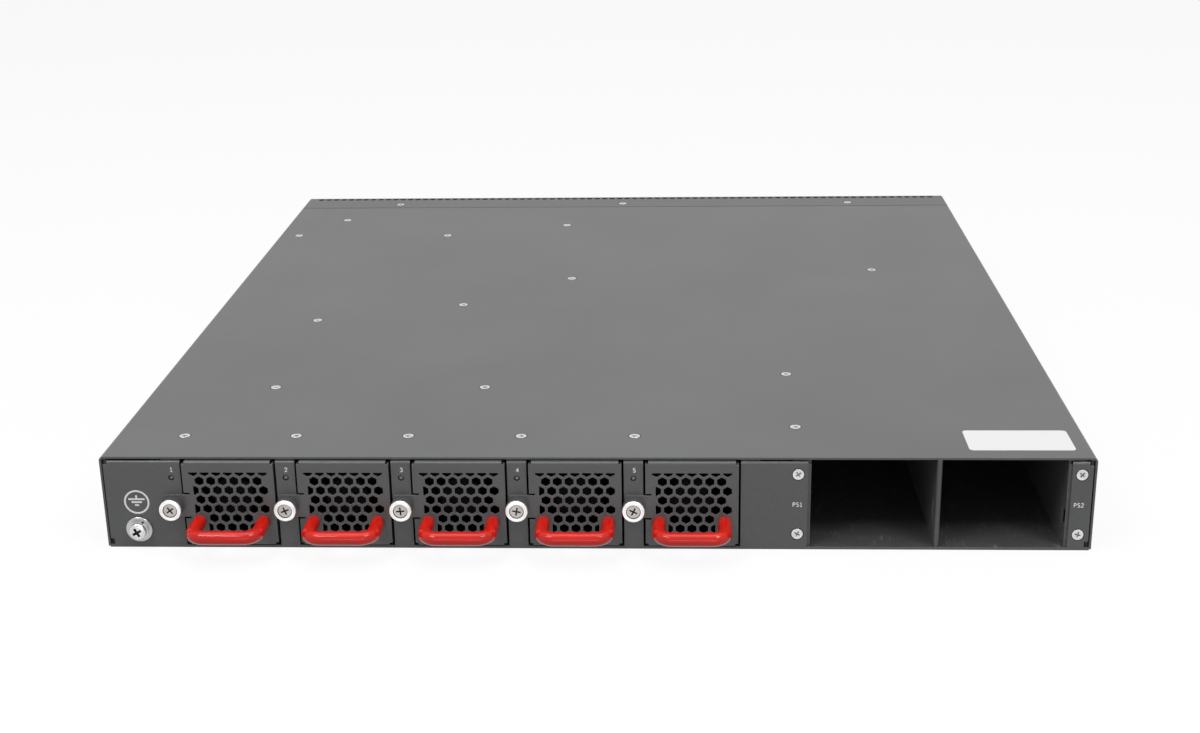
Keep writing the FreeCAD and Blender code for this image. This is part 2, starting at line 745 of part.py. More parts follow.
def honeycomb():
    """The grille's holes: a hexagon field clipped along the top, the left and the low part's sides."""
    pitch = value("Dims.hex_pitch")
    radius = value("Dims.hex_flats") / math.sqrt(3)
    row_pitch = pitch * math.sqrt(3) / 2
    left, right = -value("Dims.grille_left"), value("Dims.grille_right")
    low_half = value("Dims.grille_low_half")
    start = -2 * value("Dims.fan_sheet")
    depth = 3 * value("Dims.fan_sheet")
    wide_rows = GRILLE_ROWS - 2
    holes = []
    for row in range(GRILLE_ROWS):
        height = value("Dims.grille_row_height") - row * row_pitch
        low, high = (left, right) if row < wide_rows else (-low_half, low_half)
        if row == 0:
            low = -right
        window = Part.makeBox(high - low, depth, 2 * radius, FreeCAD.Vector(low, start, height - radius))
        if row == 0:
            window = Part.makeBox(high - low, depth, value("Dims.grille_top") - height + radius,
                                  FreeCAD.Vector(low, start, height - radius))
        shift = 0.5 * (row % 2)
        reach = int(right / pitch) + 1
        for step in range(-reach, reach + 1):
            x = (step + shift) * pitch
            inside = min(x + radius, high) - max(x - radius, low)
            if inside < 0.99 * radius or (row >= wide_rows and abs(x) > low_half + 0.01) or x > high:
                continue
            corners = []
            for side in range(HEX_SIDES + 1):
                turn = 2 * math.pi * side / HEX_SIDES
                across, up = radius * math.sin(turn), radius * math.cos(turn)
                corners.append(FreeCAD.Vector(x + across, start, height + up))
            hexagon = Part.Face(Part.makePolygon(corners)).extrude(FreeCAD.Vector(0, depth, 0))
            holes.append(hexagon.common(window))
    return Part.makeCompound(holes)


def make_fan_tray(number, field):
    """One folded sheet: honeycomb face, four flanges and the ear that carries the ferrule."""
    name = f"fan_{number + 1}_tray"
    skin = "-Dims.fan_sheet"
    inside = f"({FACE_HALF} - Dims.fan_sheet)"
    relief = "Dims.corner_relief"
    ear_low = "(Dims.thumb_height - Dims.ear_height / 2)"
    ear_high = "(Dims.thumb_height + Dims.ear_height / 2)"
    sheets = [
        slab(f"{name}_face", (f"-{FACE_HALF}", skin, FACE_LOW), (FACE_HALF, "0", FACE_HIGH)),
        slab(f"{name}_ear", (f"(-{FACE_HALF} - Dims.ear_length)", skin, ear_low),
             (f"-{inside}", "0", ear_high)),
    ]
    for side, low, high in (("left", f"-{FACE_HALF}", f"-{inside}"), ("right", inside, FACE_HALF)):
        sheets.append(slab(f"{name}_{side}", (low, skin, f"({FACE_LOW} + {relief})"),
                           (high, "Dims.side_depth", f"({FACE_HIGH} - {relief})")))
    for side, low, high in (
        ("under", FACE_LOW, f"({FACE_LOW} + Dims.fan_sheet)"),
        ("over", f"({FACE_HIGH} - Dims.fan_sheet)", FACE_HIGH),
    ):
        sheets.append(slab(f"{name}_{side}", (f"(-{FACE_HALF} + {relief})", skin, low),
                           (f"({FACE_HALF} - {relief})", "Dims.flange_depth", high)))
    blank = fuse(f"{name}_blank", sheets)
    notches = []
    for corner, x in (("left", f"-{FACE_HALF}"), ("right", f"({FACE_HALF} - {relief})")):
        for level, z in (("low", FACE_LOW), ("high", f"({FACE_HIGH} - {relief})")):
            notches.append(slab(f"{name}_{corner}_{level}_notch", (x, f"({skin} - 1)", z),
                                (f"({x} + {relief})", "1", f"({z} + {relief})")))
    for level, z in (("low", f"({ear_low} - Dims.ear_relief)"), ("high", ear_high)):
        notches.append(slab(f"{name}_ear_{level}_slot", (f"(-{FACE_HALF} - 1)", f"({skin} - 1)", z),
                            (f"(-{FACE_HALF} + Dims.ear_relief_depth)", "0", f"({z} + Dims.ear_relief)")))
    tongue = "Dims.ear_length + Dims.ear_relief"
    notches.append(slab(f"{name}_tongue", (f"(-{FACE_HALF} - 1)", "0", f"({ear_low} - Dims.ear_relief)"),
                        (f"-{inside}", tongue, f"({ear_high} + Dims.ear_relief)")))
    trimmed = cut(f"{name}_trimmed", blank, notches)
    doc.recompute()
    bends = doc.addObject("Part::Fillet", f"{name}_bends")
    bends.Base = trimmed
    radius = value("Dims.fan_bend")
    bends.Edges = [(index, radius, radius) for index in face_edges(trimmed.Shape)]
    thumb = (f"-{FAN_PITCH} / 2", f"({skin} - Dims.ferrule_depth)", "Dims.thumb_height")
    ferrule = prism(f"{name}_ferrule", "y", thumb, "Dims.ferrule_depth",
                    "Dims.ferrule_radius", FERRULE_SIDES)
    thumb_hole = hole(f"{name}_thumb_hole", "y", thumb, "Dims.ferrule_depth + Dims.fan_sheet",
                      "Dims.screw_radius + Dims.thumb_slack")
    grille = doc.addObject("Part::Feature", f"{name}_grille")
    grille.Shape = field
    solid = fuse(f"{name}_solid", [bends, ferrule])
    return in_bay(cut(name, solid, [thumb_hole, grille]), number)


def face_edges(shape):
    """The long outer edges of a fan tray's face, where its top and bottom flanges fold back."""
    half, low, high = value(FACE_HALF), value(FACE_LOW), value(FACE_HIGH)
    skin = -value("Dims.fan_sheet")
    found = []
    for index, edge in enumerate(shape.Edges, start=1):
        extent = edge.BoundBox
        if abs(extent.YMin - skin) > 0.01 or extent.YLength > 0.01:
            continue
        if extent.XLength > half and min(abs(extent.ZMin - low), abs(extent.ZMin - high)) < 0.01:
            found.append(index)
    return found


def make_fan_handle(number):
    """A round bar bent in small steps at both corners, dipped in plastic."""
    name = f"fan_{number + 1}_handle"
    body = doc.addObject("PartDesign::Body", name)
    half = "(Dims.handle_span / 2)"
    turn = "Dims.handle_bend"
    corner = []
    for step in range(BEND_STEPS):
        angle = 90 * (step + 0.5) / BEND_STEPS
        swing = 90 / BEND_STEPS / 2
        corner.append((f"({half} - {turn} + {turn} * cos({angle}) / cos({swing}))",
                       f"(-Dims.handle_reach + {turn} - {turn} * sin({angle}) / cos({swing}))"))
    points = [(half, "-Dims.fan_sheet")] + corner
    points += [(f"-{x}", y) for x, y in reversed(points)]
    path = sketch_on(body, f"{name}_path", "XY_Plane", "Dims.handle_height")
    polyline(path, points, closed=False)
    section = sketch_on(body, f"{name}_section", "XZ_Plane", "Dims.fan_sheet")
    polygon(section, half, "Dims.handle_height", "Dims.handle_radius", BAR_SIDES)
    doc.recompute()
    pipe = body.newObject("PartDesign::AdditivePipe", f"{name}_bar")
    pipe.Profile = section
    pipe.Spine = path
    pipe.Transition = "Right corner"
    return in_bay(body, number)


def make_fan_screw(number):
    """Captive thumbscrew: a knob and the bolt that reaches the nut behind the post."""
    name = f"fan_{number + 1}_screw"
    under = "(-Dims.fan_sheet - Dims.ferrule_depth - Dims.knob_gap)"
    x = f"-{FAN_PITCH} / 2"
    front = f"({under} - Dims.knob_depth)"
    knob = prism(f"{name}_knob", "y", (x, front, "Dims.thumb_height"), "Dims.knob_depth",
                 "Dims.knob_radius", KNOB_SIDES)
    bolt = prism(f"{name}_bolt", "y", (x, under, "Dims.thumb_height"), f"Dims.thumb_reach - {under}",
                 "Dims.screw_radius", HOLE_SIDES)
    return in_bay(fuse(name, [knob, bolt]), number)


def make_fan_frame(number):
    """Square duct with a round bore, and the motor base on its struts at the back."""
    name = f"fan_{number + 1}_frame"
    half = "(Dims.fan_size / 2)"
    duct = slab(f"{name}_duct", (f"-{half}", "Dims.fan_setback", FAN_LOW),
                (half, FAN_BACK, f"({FAN_LOW} + Dims.fan_size)"))
    middle = ("0", "(Dims.fan_setback - 1)", FAN_MIDDLE)
    bore = hole(f"{name}_bore", "y", middle, "Dims.fan_depth + 2", f"({half} - Dims.fan_wall)", BORE_SIDES)
    ring = cut(f"{name}_ring", duct, [bore])
    base = f"({FAN_BACK} - Dims.motor_depth)"
    motor = prism(f"{name}_motor", "y", ("0", base, FAN_MIDDLE), "Dims.motor_depth",
                  "Dims.hub_radius", HUB_SIDES)
    tip = f"({base} - Dims.shaft_length)"
    shaft = prism(f"{name}_shaft", "y", ("0", tip, FAN_MIDDLE), "Dims.shaft_length",
                  "Dims.shaft_radius", HEX_SIDES)
    strut_half = "(Dims.strut_width / 2)"
    reach = f"({half} - Dims.fan_wall / 2)"
    back = f"({FAN_BACK} - Dims.strut_depth)"
    struts = [
        slab(f"{name}_cross_strut", (f"-{reach}", back, f"({FAN_MIDDLE} - {strut_half})"),
             (reach, FAN_BACK, f"({FAN_MIDDLE} + {strut_half})")),
        slab(f"{name}_up_strut", (f"-{strut_half}", back, f"({FAN_MIDDLE} - {reach})"),
             (strut_half, FAN_BACK, f"({FAN_MIDDLE} + {reach})")),
    ]
    return in_bay(fuse(name, [ring, motor, shaft] + struts), number)


def make_fan_rotor(number):
    """Hub and pitched blades on the motor's shaft."""
    name = f"fan_{number + 1}_rotor"
    body = doc.addObject("PartDesign::Body", f"{name}_wheel")
    back = f"({FAN_BACK} - Dims.motor_depth - Dims.rotor_gap)"
    hub = body.newObject("PartDesign::AdditivePrism", f"{name}_hub")
    hub.Polygon = HUB_SIDES
    hub.AttachmentSupport = (plane(body, "XZ_Plane"), [""])
    hub.MapMode = "FlatFace"
    bind(hub, Circumradius="Dims.hub_radius", Height="Dims.hub_depth")
    hub.setExpression("AttachmentOffset.Base.z", f"-{back}")
    doc.recompute()
    section = sketch_on(body, f"{name}_section", "XY_Plane", "Dims.hub_radius - Dims.blade_root")
    middle = f"({back} - Dims.hub_depth / 2)"
    chord, thick, pitch = "Dims.blade_chord / 2", "Dims.blade_sheet / 2", "Dims.blade_pitch"
    corners = []
    for along, across in ((-1, -1), (1, -1), (1, 1), (-1, 1)):
        x = f"({along} * {chord} * sin({pitch}) + {across} * {thick} * cos({pitch}))"
        y = f"({middle} + {along} * {chord} * cos({pitch}) - {across} * {thick} * sin({pitch}))"
        corners.append((x, y))
    polyline(section, corners)
    tip = "(Dims.fan_size / 2 - Dims.fan_wall - Dims.tip_gap)"
    blade = pad(body, f"{name}_blade", section, f"{tip} - Dims.hub_radius + Dims.blade_root")
    doc.recompute()
    ring = body.newObject("PartDesign::PolarPattern", f"{name}_blades")
    ring.Originals = [blade]
    ring.Axis = (plane(body, "Y_Axis"), [""])
    ring.Angle = 360
    ring.Occurrences = BLADE_COUNT
    body.Tip = ring
    bore = hole(f"{name}_bore", "y", ("0", f"({back} - Dims.shaft_length)", "0"), "Dims.shaft_length + 1",
                "Dims.shaft_radius + Dims.shaft_slack", HEX_SIDES)
    wheel = cut(name, body, [bore])
    place(wheel, fan_x(number), REAR, FAN_MIDDLE)
    return wheel


def make_fan_plug(number):
    x = fan_x(number)
    start = f"({REAR} + {FAN_BACK})"
    return slab(f"fan_{number + 1}_plug", (f"({x} - Dims.plug_width / 2)", start, "Dims.plug_lift"),
                (f"({x} + Dims.plug_width / 2)", f"({start} + Dims.plug_depth)",
                 "Dims.plug_lift + Dims.plug_height"))


# Power supply bays

def make_psu_wall(name, inner, side):
    """A bay wall with flanges along its front and top, folded away from the bay."""
    far = f"({inner} + {side} * Dims.psu_flange)"
    skin = f"({inner} + {side} * Dims.psu_sheet)"
    sheets = []
    for part, reach, low, high in (
        ("wall", skin, (PANEL_BACK, FLOOR), (PSU_END, CEILING)),
        ("front", far, (PANEL_BACK, FLOOR), (f"({PANEL_BACK} + Dims.psu_sheet)", CEILING)),
        ("top", far, (PANEL_BACK, f"({CEILING} - Dims.psu_sheet)"), (PSU_END, CEILING)),
    ):
        left, right = (inner, reach) if side > 0 else (reach, inner)
        sheets.append(slab(f"{name}_{part}", (left, *low), (right, *high)))
    left, right = (inner, far) if side > 0 else (far, inner)
    relief_low = f"({PANEL_TOP} - Dims.psu_relief)"
    openings = [slab(f"{name}_relief", (f"({left} - 1)", f"({PANEL_BACK} - 1)", relief_low),
                     (f"({right} + 1)", f"({PANEL_BACK} + Dims.psu_sheet)", f"({CEILING} + 1)"))]
    if side > 0:
        start = f"({PANEL_BACK} + Dims.psu_window_setback)"
        openings.append(slab(f"{name}_window", (f"({inner} - 1)", start, "Dims.psu_window_low"),
                             (f"({skin} + 1)", f"({start} + Dims.psu_window_depth)",
                              "Dims.psu_window_low + Dims.psu_window_height")))
    return cut(name, fuse(f"{name}_folded", sheets), openings)


def make_psu_divider():
    """The wall between the bays: one sheet folded double, with its round fold at the mouth."""
    left = f"({PSU_LEFT} + Dims.psu_bay)"
    right = f"({left} + Dims.psu_divider)"
    mouth = f"({REAR} + Dims.psu_lip)"
    radius = "Dims.psu_divider / 2"
    fold = f"({mouth} + {radius})"
    nose = rod("psu_divider_nose", "z", (f"({left} + {radius})", fold, FLOOR), INNER_HEIGHT, radius)
    sides = slab("psu_divider_sides", (left, fold, FLOOR), (right, PSU_END, CEILING))
    hollow = slab("psu_divider_hollow", (f"({left} + Dims.psu_sheet)", fold, f"({FLOOR} - 1)"),
                  (f"({right} - Dims.psu_sheet)", f"({PSU_END} + 1)", f"({CEILING} + 1)"))
    start = f"({PANEL_BACK} + Dims.psu_window_setback)"
    low = "(Dims.psu_window_low + Dims.divider_window_lift)"
    end = f"({start} + Dims.psu_window_depth)"
    window = slab("psu_divider_window", (f"({left} - 1)", start, low),
                  (f"({left} + Dims.psu_sheet)", end, f"({low} + Dims.psu_window_height)"))
    return cut("psu_divider", fuse("psu_divider_fold", [nose, sides]), [hollow, window])


def make_psu_sockets():
    """Card-edge sockets at the far end of the bays."""
    sockets = []
    for bay in (0, 1):
        x = f"({PSU_LEFT} + Dims.psu_bay / 2 + {bay} * (Dims.psu_bay + Dims.psu_divider))"
        high = f"({BOARD_TOP} + Dims.psu_socket_height)"
        block = slab(f"psu_socket_block_{bay}", (f"({x} - Dims.psu_socket_width / 2)", PSU_END, BOARD_TOP),
                     (f"({x} + Dims.psu_socket_width / 2)", f"({PSU_END} + Dims.psu_socket_depth)", high))
        middle = f"({BOARD_TOP} + Dims.psu_socket_height / 2)"
        half_width, half_height = "Dims.psu_slot_width / 2", "Dims.psu_slot_height / 2"
        slot = slab(f"psu_socket_slot_{bay}",
                    (f"({x} - {half_width})", f"({PSU_END} - 1)", f"({middle} - {half_height})"),
                    (f"({x} + {half_width})", f"({PSU_END} + Dims.psu_slot_depth)",
                     f"({middle} + {half_height})"))
        sockets.append(cut(f"psu_socket_{bay}", block, [slot]))
    return group("psu_sockets", sockets)


def make_power_board():
    start = f"({PSU_END} + Dims.board_gap)"
    low = (f"({PSU_LEFT} + Dims.board_edge)", start, BOARD_LOW)
    high = (f"({PSU_RIGHT} - Dims.board_edge)", f"({start} + Dims.power_board_depth)", BOARD_TOP)
    return slab("power_board", low, high)


# Main board and what stands on it

def make_main_board():
    """L-shaped board beside and in front of the power bays, with holes for the hex posts."""
    left = slab("board_left", (BOARD_LEFT, BOARD_REAR, BOARD_LOW), (BOARD_STEP_X, BOARD_FRONT, BOARD_TOP))
    right = slab("board_right", (BOARD_LEFT, BOARD_STEP_Y, BOARD_LOW), (BOARD_RIGHT, BOARD_FRONT, BOARD_TOP))
    holes = [
        hole(f"board_hole_{index}", "z", (x, y, f"({BOARD_LOW} - 1)"), "Dims.board_sheet + 2",
             "Dims.post_flats / 2 + Dims.post_slack", HEX_SIDES)
        for index, (x, y) in enumerate(POST_ROW)
    ]
    return cut("main_board", fuse("board_blank", [left, right]), holes)


def make_board_standoffs():
    """Short hex standoffs under the corners of the main board and the power board."""
    inset = "Dims.standoff_inset"
    power_left = f"({PSU_LEFT} + Dims.board_edge + {inset})"
    power_right = f"({PSU_RIGHT} - Dims.board_edge - {inset})"
    places = [
        (f"({BOARD_LEFT} + {inset})", f"({BOARD_REAR} + {inset})"),
        (f"({BOARD_STEP_X} - {inset})", f"({BOARD_REAR} + {inset})"),
        (f"({BOARD_LEFT} + {inset})", f"({BOARD_FRONT} - {inset})"),
        (f"({BOARD_RIGHT} - {inset})", f"({BOARD_FRONT} - {inset})"),
        (f"({BOARD_RIGHT} - {inset})", f"({BOARD_STEP_Y} + {inset})"),
        (power_left, f"({PSU_END} + Dims.board_gap + {inset})"),
        (power_right, f"({PSU_END} + Dims.board_gap + Dims.power_board_depth - {inset})"),
    ]
    legs = [
        prism(f"standoff_{index}", "z", (x, y, FLOOR), "Dims.board_lift", POST_RADIUS, HEX_SIDES)
        for index, (x, y) in enumerate(places)
    ]
    return group("board_standoffs", legs)


def make_cover_posts():
    """Tall hex posts from the floor to the cover, under its screws."""
    posts = [
        prism(f"cover_post_{index}", "z", (x, y, FLOOR), INNER_HEIGHT, POST_RADIUS, HEX_SIDES)
        for index, (x, y) in enumerate(POST_ROW)
    ]
    return group("cover_posts", posts)


SWITCH_X = f"(-{SIDE} + Dims.switch_chip_left)"
SWITCH_Y = f"({FRONT} - Dims.switch_chip_front)"
PROCESSOR_X = f"(-{SIDE} + Dims.processor_left)"
PROCESSOR_Y = f"({FRONT} - Dims.processor_front)"


def make_chip(name, x, y, size):
    half = f"({size} / 2)"
    return slab(name, (f"({x} - {half})", f"({y} - {half})", BOARD_TOP),
                (f"({x} + {half})", f"({y} + {half})", f"({BOARD_TOP} + Dims.chip_height)"))


def make_heat_sink(name, x, y, width, length, fins):
    """A base plate with upright fins along the air flow."""
    low = f"({BOARD_TOP} + Dims.chip_height)"
    base_top = f"({low} + Dims.sink_base)"
    left = f"({x} - {width} / 2)"
    rear, front = f"({y} - {length} / 2)", f"({y} + {length} / 2)"
    plates = [slab(f"{name}_base", (left, rear, low), (f"({left} + {width})", front, base_top))]
    for fin in range(fins):
        start = f"({left} + {fin} * ({width} - Dims.fin_sheet) / {fins - 1})"
        plates.append(slab(f"{name}_fin_{fin}", (start, rear, low),
                           (f"({start} + Dims.fin_sheet)", front, f"({low} + Dims.sink_height)")))
    return fuse(name, plates)


def make_memory_module():
    x = f"({SIDE} - Dims.memory_right)"
    y = f"({FRONT} - Dims.memory_front)"
    return slab("memory_module", (f"({x} - Dims.memory_length)", y, BOARD_TOP),
                (x, f"({y} + Dims.memory_sheet)", f"({BOARD_TOP} + Dims.memory_height)"))


# Ports

def block_width(columns, cell):
    return f"({columns} * {cell} + {columns + 1} * Dims.cage_wall)"


SFP_COLUMNS = 4
QSFP_COLUMNS = 2
SFP_BLOCK = block_width(SFP_COLUMNS, "Dims.sfp_width")
QSFP_BLOCK = block_width(QSFP_COLUMNS, "Dims.qsfp_width")
SFP_PLACES = [
    f"(-{SIDE} + Dims.sfp_block_x + {SFP_BLOCK} / 2 + {block} * Dims.sfp_block_pitch)" for block in (0, 1)
]
QSFP_PLACE = f"(-{SIDE} + Dims.qsfp_block_x + {QSFP_BLOCK} / 2)"
PORT_BLOCKS = [(x, SFP_BLOCK) for x in SFP_PLACES] + [(QSFP_PLACE, QSFP_BLOCK)]
JACK_PLACES = [f"(-{SIDE} + Dims.jack_x + {jack} * Dims.jack_pitch)" for jack in (0, 1)]


def cage_block(name, x, columns, cell):
    """Two rows of pluggable module cages stamped as one block, open at the front."""
    width = block_width(columns, cell)
    back = f"({FRONT} - Dims.cage_depth)"
    left = f"({x} - {width} / 2)"
    body = slab(f"{name}_body", (left, back, BOARD_TOP),
                (f"({left} + {width})", FRONT, f"({BOARD_TOP} + {CAGE_BLOCK_HEIGHT})"))
    cells = []
    row_pitch = "(Dims.cage_height + Dims.cage_wall + Dims.cage_between)"
    for row in range(CAGE_ROWS):
        low = f"({BOARD_TOP} + Dims.cage_wall / 2 + {row} * {row_pitch})"
        for column in range(columns):
            start = f"({left} + Dims.cage_wall + {column} * ({cell} + Dims.cage_wall))"
            cells.append(slab(f"{name}_cell_{row}_{column}", (start, f"({back} + Dims.cage_wall)", low),
                              (f"({start} + {cell})", f"({FRONT} + 1)", f"({low} + Dims.cage_height)")))
    return cut(name, body, cells)


def make_jack(name, x):
    """A modular jack with its mouth at the front."""
    half = "(Dims.jack_width / 2)"
    body = slab(f"{name}_body", (f"({x} - {half})", f"({FRONT} - Dims.jack_depth)", BOARD_TOP),
                (f"({x} + {half})", FRONT, f"({BOARD_TOP} + Dims.jack_height)"))
    mouth_half = "(Dims.jack_mouth_width / 2)"
    low = f"({BOARD_TOP} + Dims.jack_floor)"
    mouth = slab(f"{name}_mouth", (f"({x} - {mouth_half})", f"({FRONT} - Dims.jack_mouth_depth)", low),
                 (f"({x} + {mouth_half})", f"({FRONT} + 1)", f"({low} + Dims.jack_mouth_height)"))
    return cut(name, body, [mouth])


# Every piece, in its own node

SMALL_FINS = 5
pieces = {
    "base_tray": make_base_tray(),
    "top_cover": make_top_cover(),
    "front_panel": make_front_cap(),
    "front_brace": make_front_brace(),
    "ground_washer": washer("ground_washer", "0", "Dims.flat_washer_radius"),
    "ground_spring_washer": washer("ground_spring_washer", "Dims.washer_sheet", "Dims.spring_washer_radius"),
    "ground_screw": make_ground_screw(),
    "fan_dividers": make_fan_dividers(),
    "fan_lights": make_fan_lights(),
    "fan_board": make_fan_board(),
    "fan_sockets": make_fan_sockets(),
    "psu_left_wall": make_psu_wall("psu_left_wall", PSU_LEFT, -1),
    "psu_right_wall": make_psu_wall("psu_right_wall", PSU_RIGHT, 1),
    "psu_divider": make_psu_divider(),
    "psu_sockets": make_psu_sockets(),
    "power_board": make_power_board(),
    "main_board": make_main_board(),
    "board_standoffs": make_board_standoffs(),
    "cover_posts": make_cover_posts(),
    "chips": group("chips", [
        make_chip("switch_chip", SWITCH_X, SWITCH_Y, "Dims.chip_size"),
        make_chip("processor", PROCESSOR_X, PROCESSOR_Y, "Dims.processor_size"),
    ]),
    "switch_heat_sink": make_heat_sink(
        "switch_heat_sink", SWITCH_X, SWITCH_Y, "Dims.sink_width", "Dims.sink_length", FIN_COUNT),
    "processor_heat_sink": make_heat_sink(
        "processor_heat_sink", PROCESSOR_X, PROCESSOR_Y, "Dims.processor_size", "Dims.processor_size", SMALL_FINS),
    "memory_module": make_memory_module(),
    "sfp_cages": group("sfp_cages", [
        cage_block(f"sfp_block_{index}", x, SFP_COLUMNS, "Dims.sfp_width")
        for index, x in enumerate(SFP_PLACES)
    ]),
    "qsfp_cages": cage_block("qsfp_cages", QSFP_PLACE, QSFP_COLUMNS, "Dims.qsfp_width"),
    "management_jack": make_jack("management_jack", JACK_PLACES[0]),
    "console_jack": make_jack("console_jack", JACK_PLACES[1]),
}
grille_holes = honeycomb()
for fan in range(FAN_COUNT):
    pieces[f"fan_{fan + 1}_tray"] = make_fan_tray(fan, grille_holes)
    pieces[f"fan_{fan + 1}_handle"] = make_fan_handle(fan)
    pieces[f"fan_{fan + 1}_screw"] = make_fan_screw(fan)
    pieces[f"fan_{fan + 1}_frame"] = make_fan_frame(fan)
    pieces[f"fan_{fan + 1}_rotor"] = make_fan_rotor(fan)
    pieces[f"fan_{fan + 1}_plug"] = make_fan_plug(fan)
for node, piece in pieces.items():
    piece.Label = node
doc.recompute()

# Nothing is written unless every object came out whole

for thing in doc.Objects:
    if "Invalid" in thing.State or "Error" in thing.State:
        raise ValueError(f"{thing.Name} failed")
for node, piece in pieces.items():
    if piece.Shape.isNull() or not piece.Shape.isValid() or not piece.Shape.Solids:
        raise ValueError(f"{node} has no sound shape")

os.makedirs("parts", exist_ok=True)
for node, piece in pieces.items():
    piece.Shape.exportStep(f"parts/{node}.step")
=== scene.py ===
import bmesh
import bpy
import math
from mathutils import Matrix, Vector


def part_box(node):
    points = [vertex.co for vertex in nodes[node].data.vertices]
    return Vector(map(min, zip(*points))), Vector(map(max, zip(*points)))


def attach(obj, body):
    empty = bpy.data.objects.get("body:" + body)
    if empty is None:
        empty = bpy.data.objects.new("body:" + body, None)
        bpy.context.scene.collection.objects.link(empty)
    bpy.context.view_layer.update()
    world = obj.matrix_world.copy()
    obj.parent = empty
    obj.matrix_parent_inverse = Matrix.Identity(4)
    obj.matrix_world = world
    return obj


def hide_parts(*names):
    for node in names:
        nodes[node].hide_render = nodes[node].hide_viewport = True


# The looks of a rack router's fan side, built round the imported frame.
# Lengths on the object are written in millimetres, and MM turns them into metres.

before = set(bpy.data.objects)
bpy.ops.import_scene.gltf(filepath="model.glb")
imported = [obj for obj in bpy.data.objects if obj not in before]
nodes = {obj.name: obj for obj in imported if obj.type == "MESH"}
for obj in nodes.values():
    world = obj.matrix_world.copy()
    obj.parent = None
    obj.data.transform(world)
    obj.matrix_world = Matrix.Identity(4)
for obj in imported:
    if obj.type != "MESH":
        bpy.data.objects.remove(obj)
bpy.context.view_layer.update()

MM = 0.001
FAN_COUNT = 5
FAN_NUMBERS = range(1, FAN_COUNT + 1)
CHASSIS = "chassis"

# Levels and places read from the frame

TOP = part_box("top_cover")[1].z
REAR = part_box("base_tray")[0].y
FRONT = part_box("front_panel")[1].y
PSU_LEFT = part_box("psu_left_wall")[1].x
PSU_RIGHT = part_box("psu_right_wall")[0].x


def middle(node):
    low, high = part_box(node)
    return (low + high) / 2


def thumb_place(number):
    """Where a thumbscrew's axis meets the rear panel."""
    centre = middle(f"fan_{number}_screw")
    return centre.x, centre.z


# Mesh helpers

def from_bmesh(name, mesh, smooth_angle=None):
    """A new object from a bmesh, with smooth shading below an angle in degrees."""
    bmesh.ops.recalc_face_normals(mesh, faces=mesh.faces)
    data = bpy.data.meshes.new(name)
    mesh.to_mesh(data)
    mesh.free()
    piece = bpy.data.objects.new(name, data)
    bpy.context.scene.collection.objects.link(piece)
    if smooth_angle is not None:
        data.shade_smooth()
        data.set_sharp_from_angle(angle=math.radians(smooth_angle))
    return piece


def dress(piece, body, materials):
    """Gives a piece its materials and the body it rides on."""
    for material in materials:
        piece.data.materials.append(material)
    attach(piece, body)


def round_angles(sides):
    return [2 * math.pi * side / sides for side in range(sides)]


def polar(radius, angle, height):
    """A point at an angle round the local Z axis."""
    return Vector((radius * math.cos(angle), radius * math.sin(angle), height))


def ring(mesh, radius, height, sides, place):
    """A closed loop of vertices round the local Z axis."""
    return [mesh.verts.new(place @ polar(radius, angle, height)) for angle in round_angles(sides)]


def bridge(mesh, first, second, material=0):
    """Quads between two loops of the same length."""
    count = len(first)
    for index in range(count):
        after = (index + 1) % count
        face = mesh.faces.new((first[index], first[after], second[after], second[index]))
        face.material_index = material


def cap(mesh, loop, material=0):
    mesh.faces.new(loop).material_index = material


def loft(mesh, loops, material=0, ends="capped"):
    """Quads from each loop to the next; the ends are capped, joined to each other or left open."""
    for first, second in zip(loops, loops[1:]):
        bridge(mesh, first, second, material)
    if ends == "joined":
        bridge(mesh, loops[-1], loops[0], material)
    if ends == "capped":
        cap(mesh, loops[0], material)
        cap(mesh, loops[-1], material)


def lathe(mesh, profile, sides, place, material=0, ends="capped"):
    """Turns a profile of (radius, height) pairs round the local Z axis."""
    loops = [ring(mesh, radius, height, sides, place) for radius, height in profile]
    loft(mesh, loops, material, ends)
    return loops


# Places on the object: local +Z points out of the surface

def on_top(x, y, height, turn):
    return Matrix.Translation((x, y, TOP + height)) @ Matrix.Rotation(turn, 4, "Z")


def on_rear(x, z, out=0.0, turn=0.0):
    return (
        Matrix.Translation((x, REAR - out, z))
        @ Matrix.Rotation(math.pi / 2, 4, "X")
        @ Matrix.Rotation(turn, 4, "Z")
    )


# Node materials

def shade(colour, factor):
    return tuple(min(1.0, channel * factor) for channel in colour)


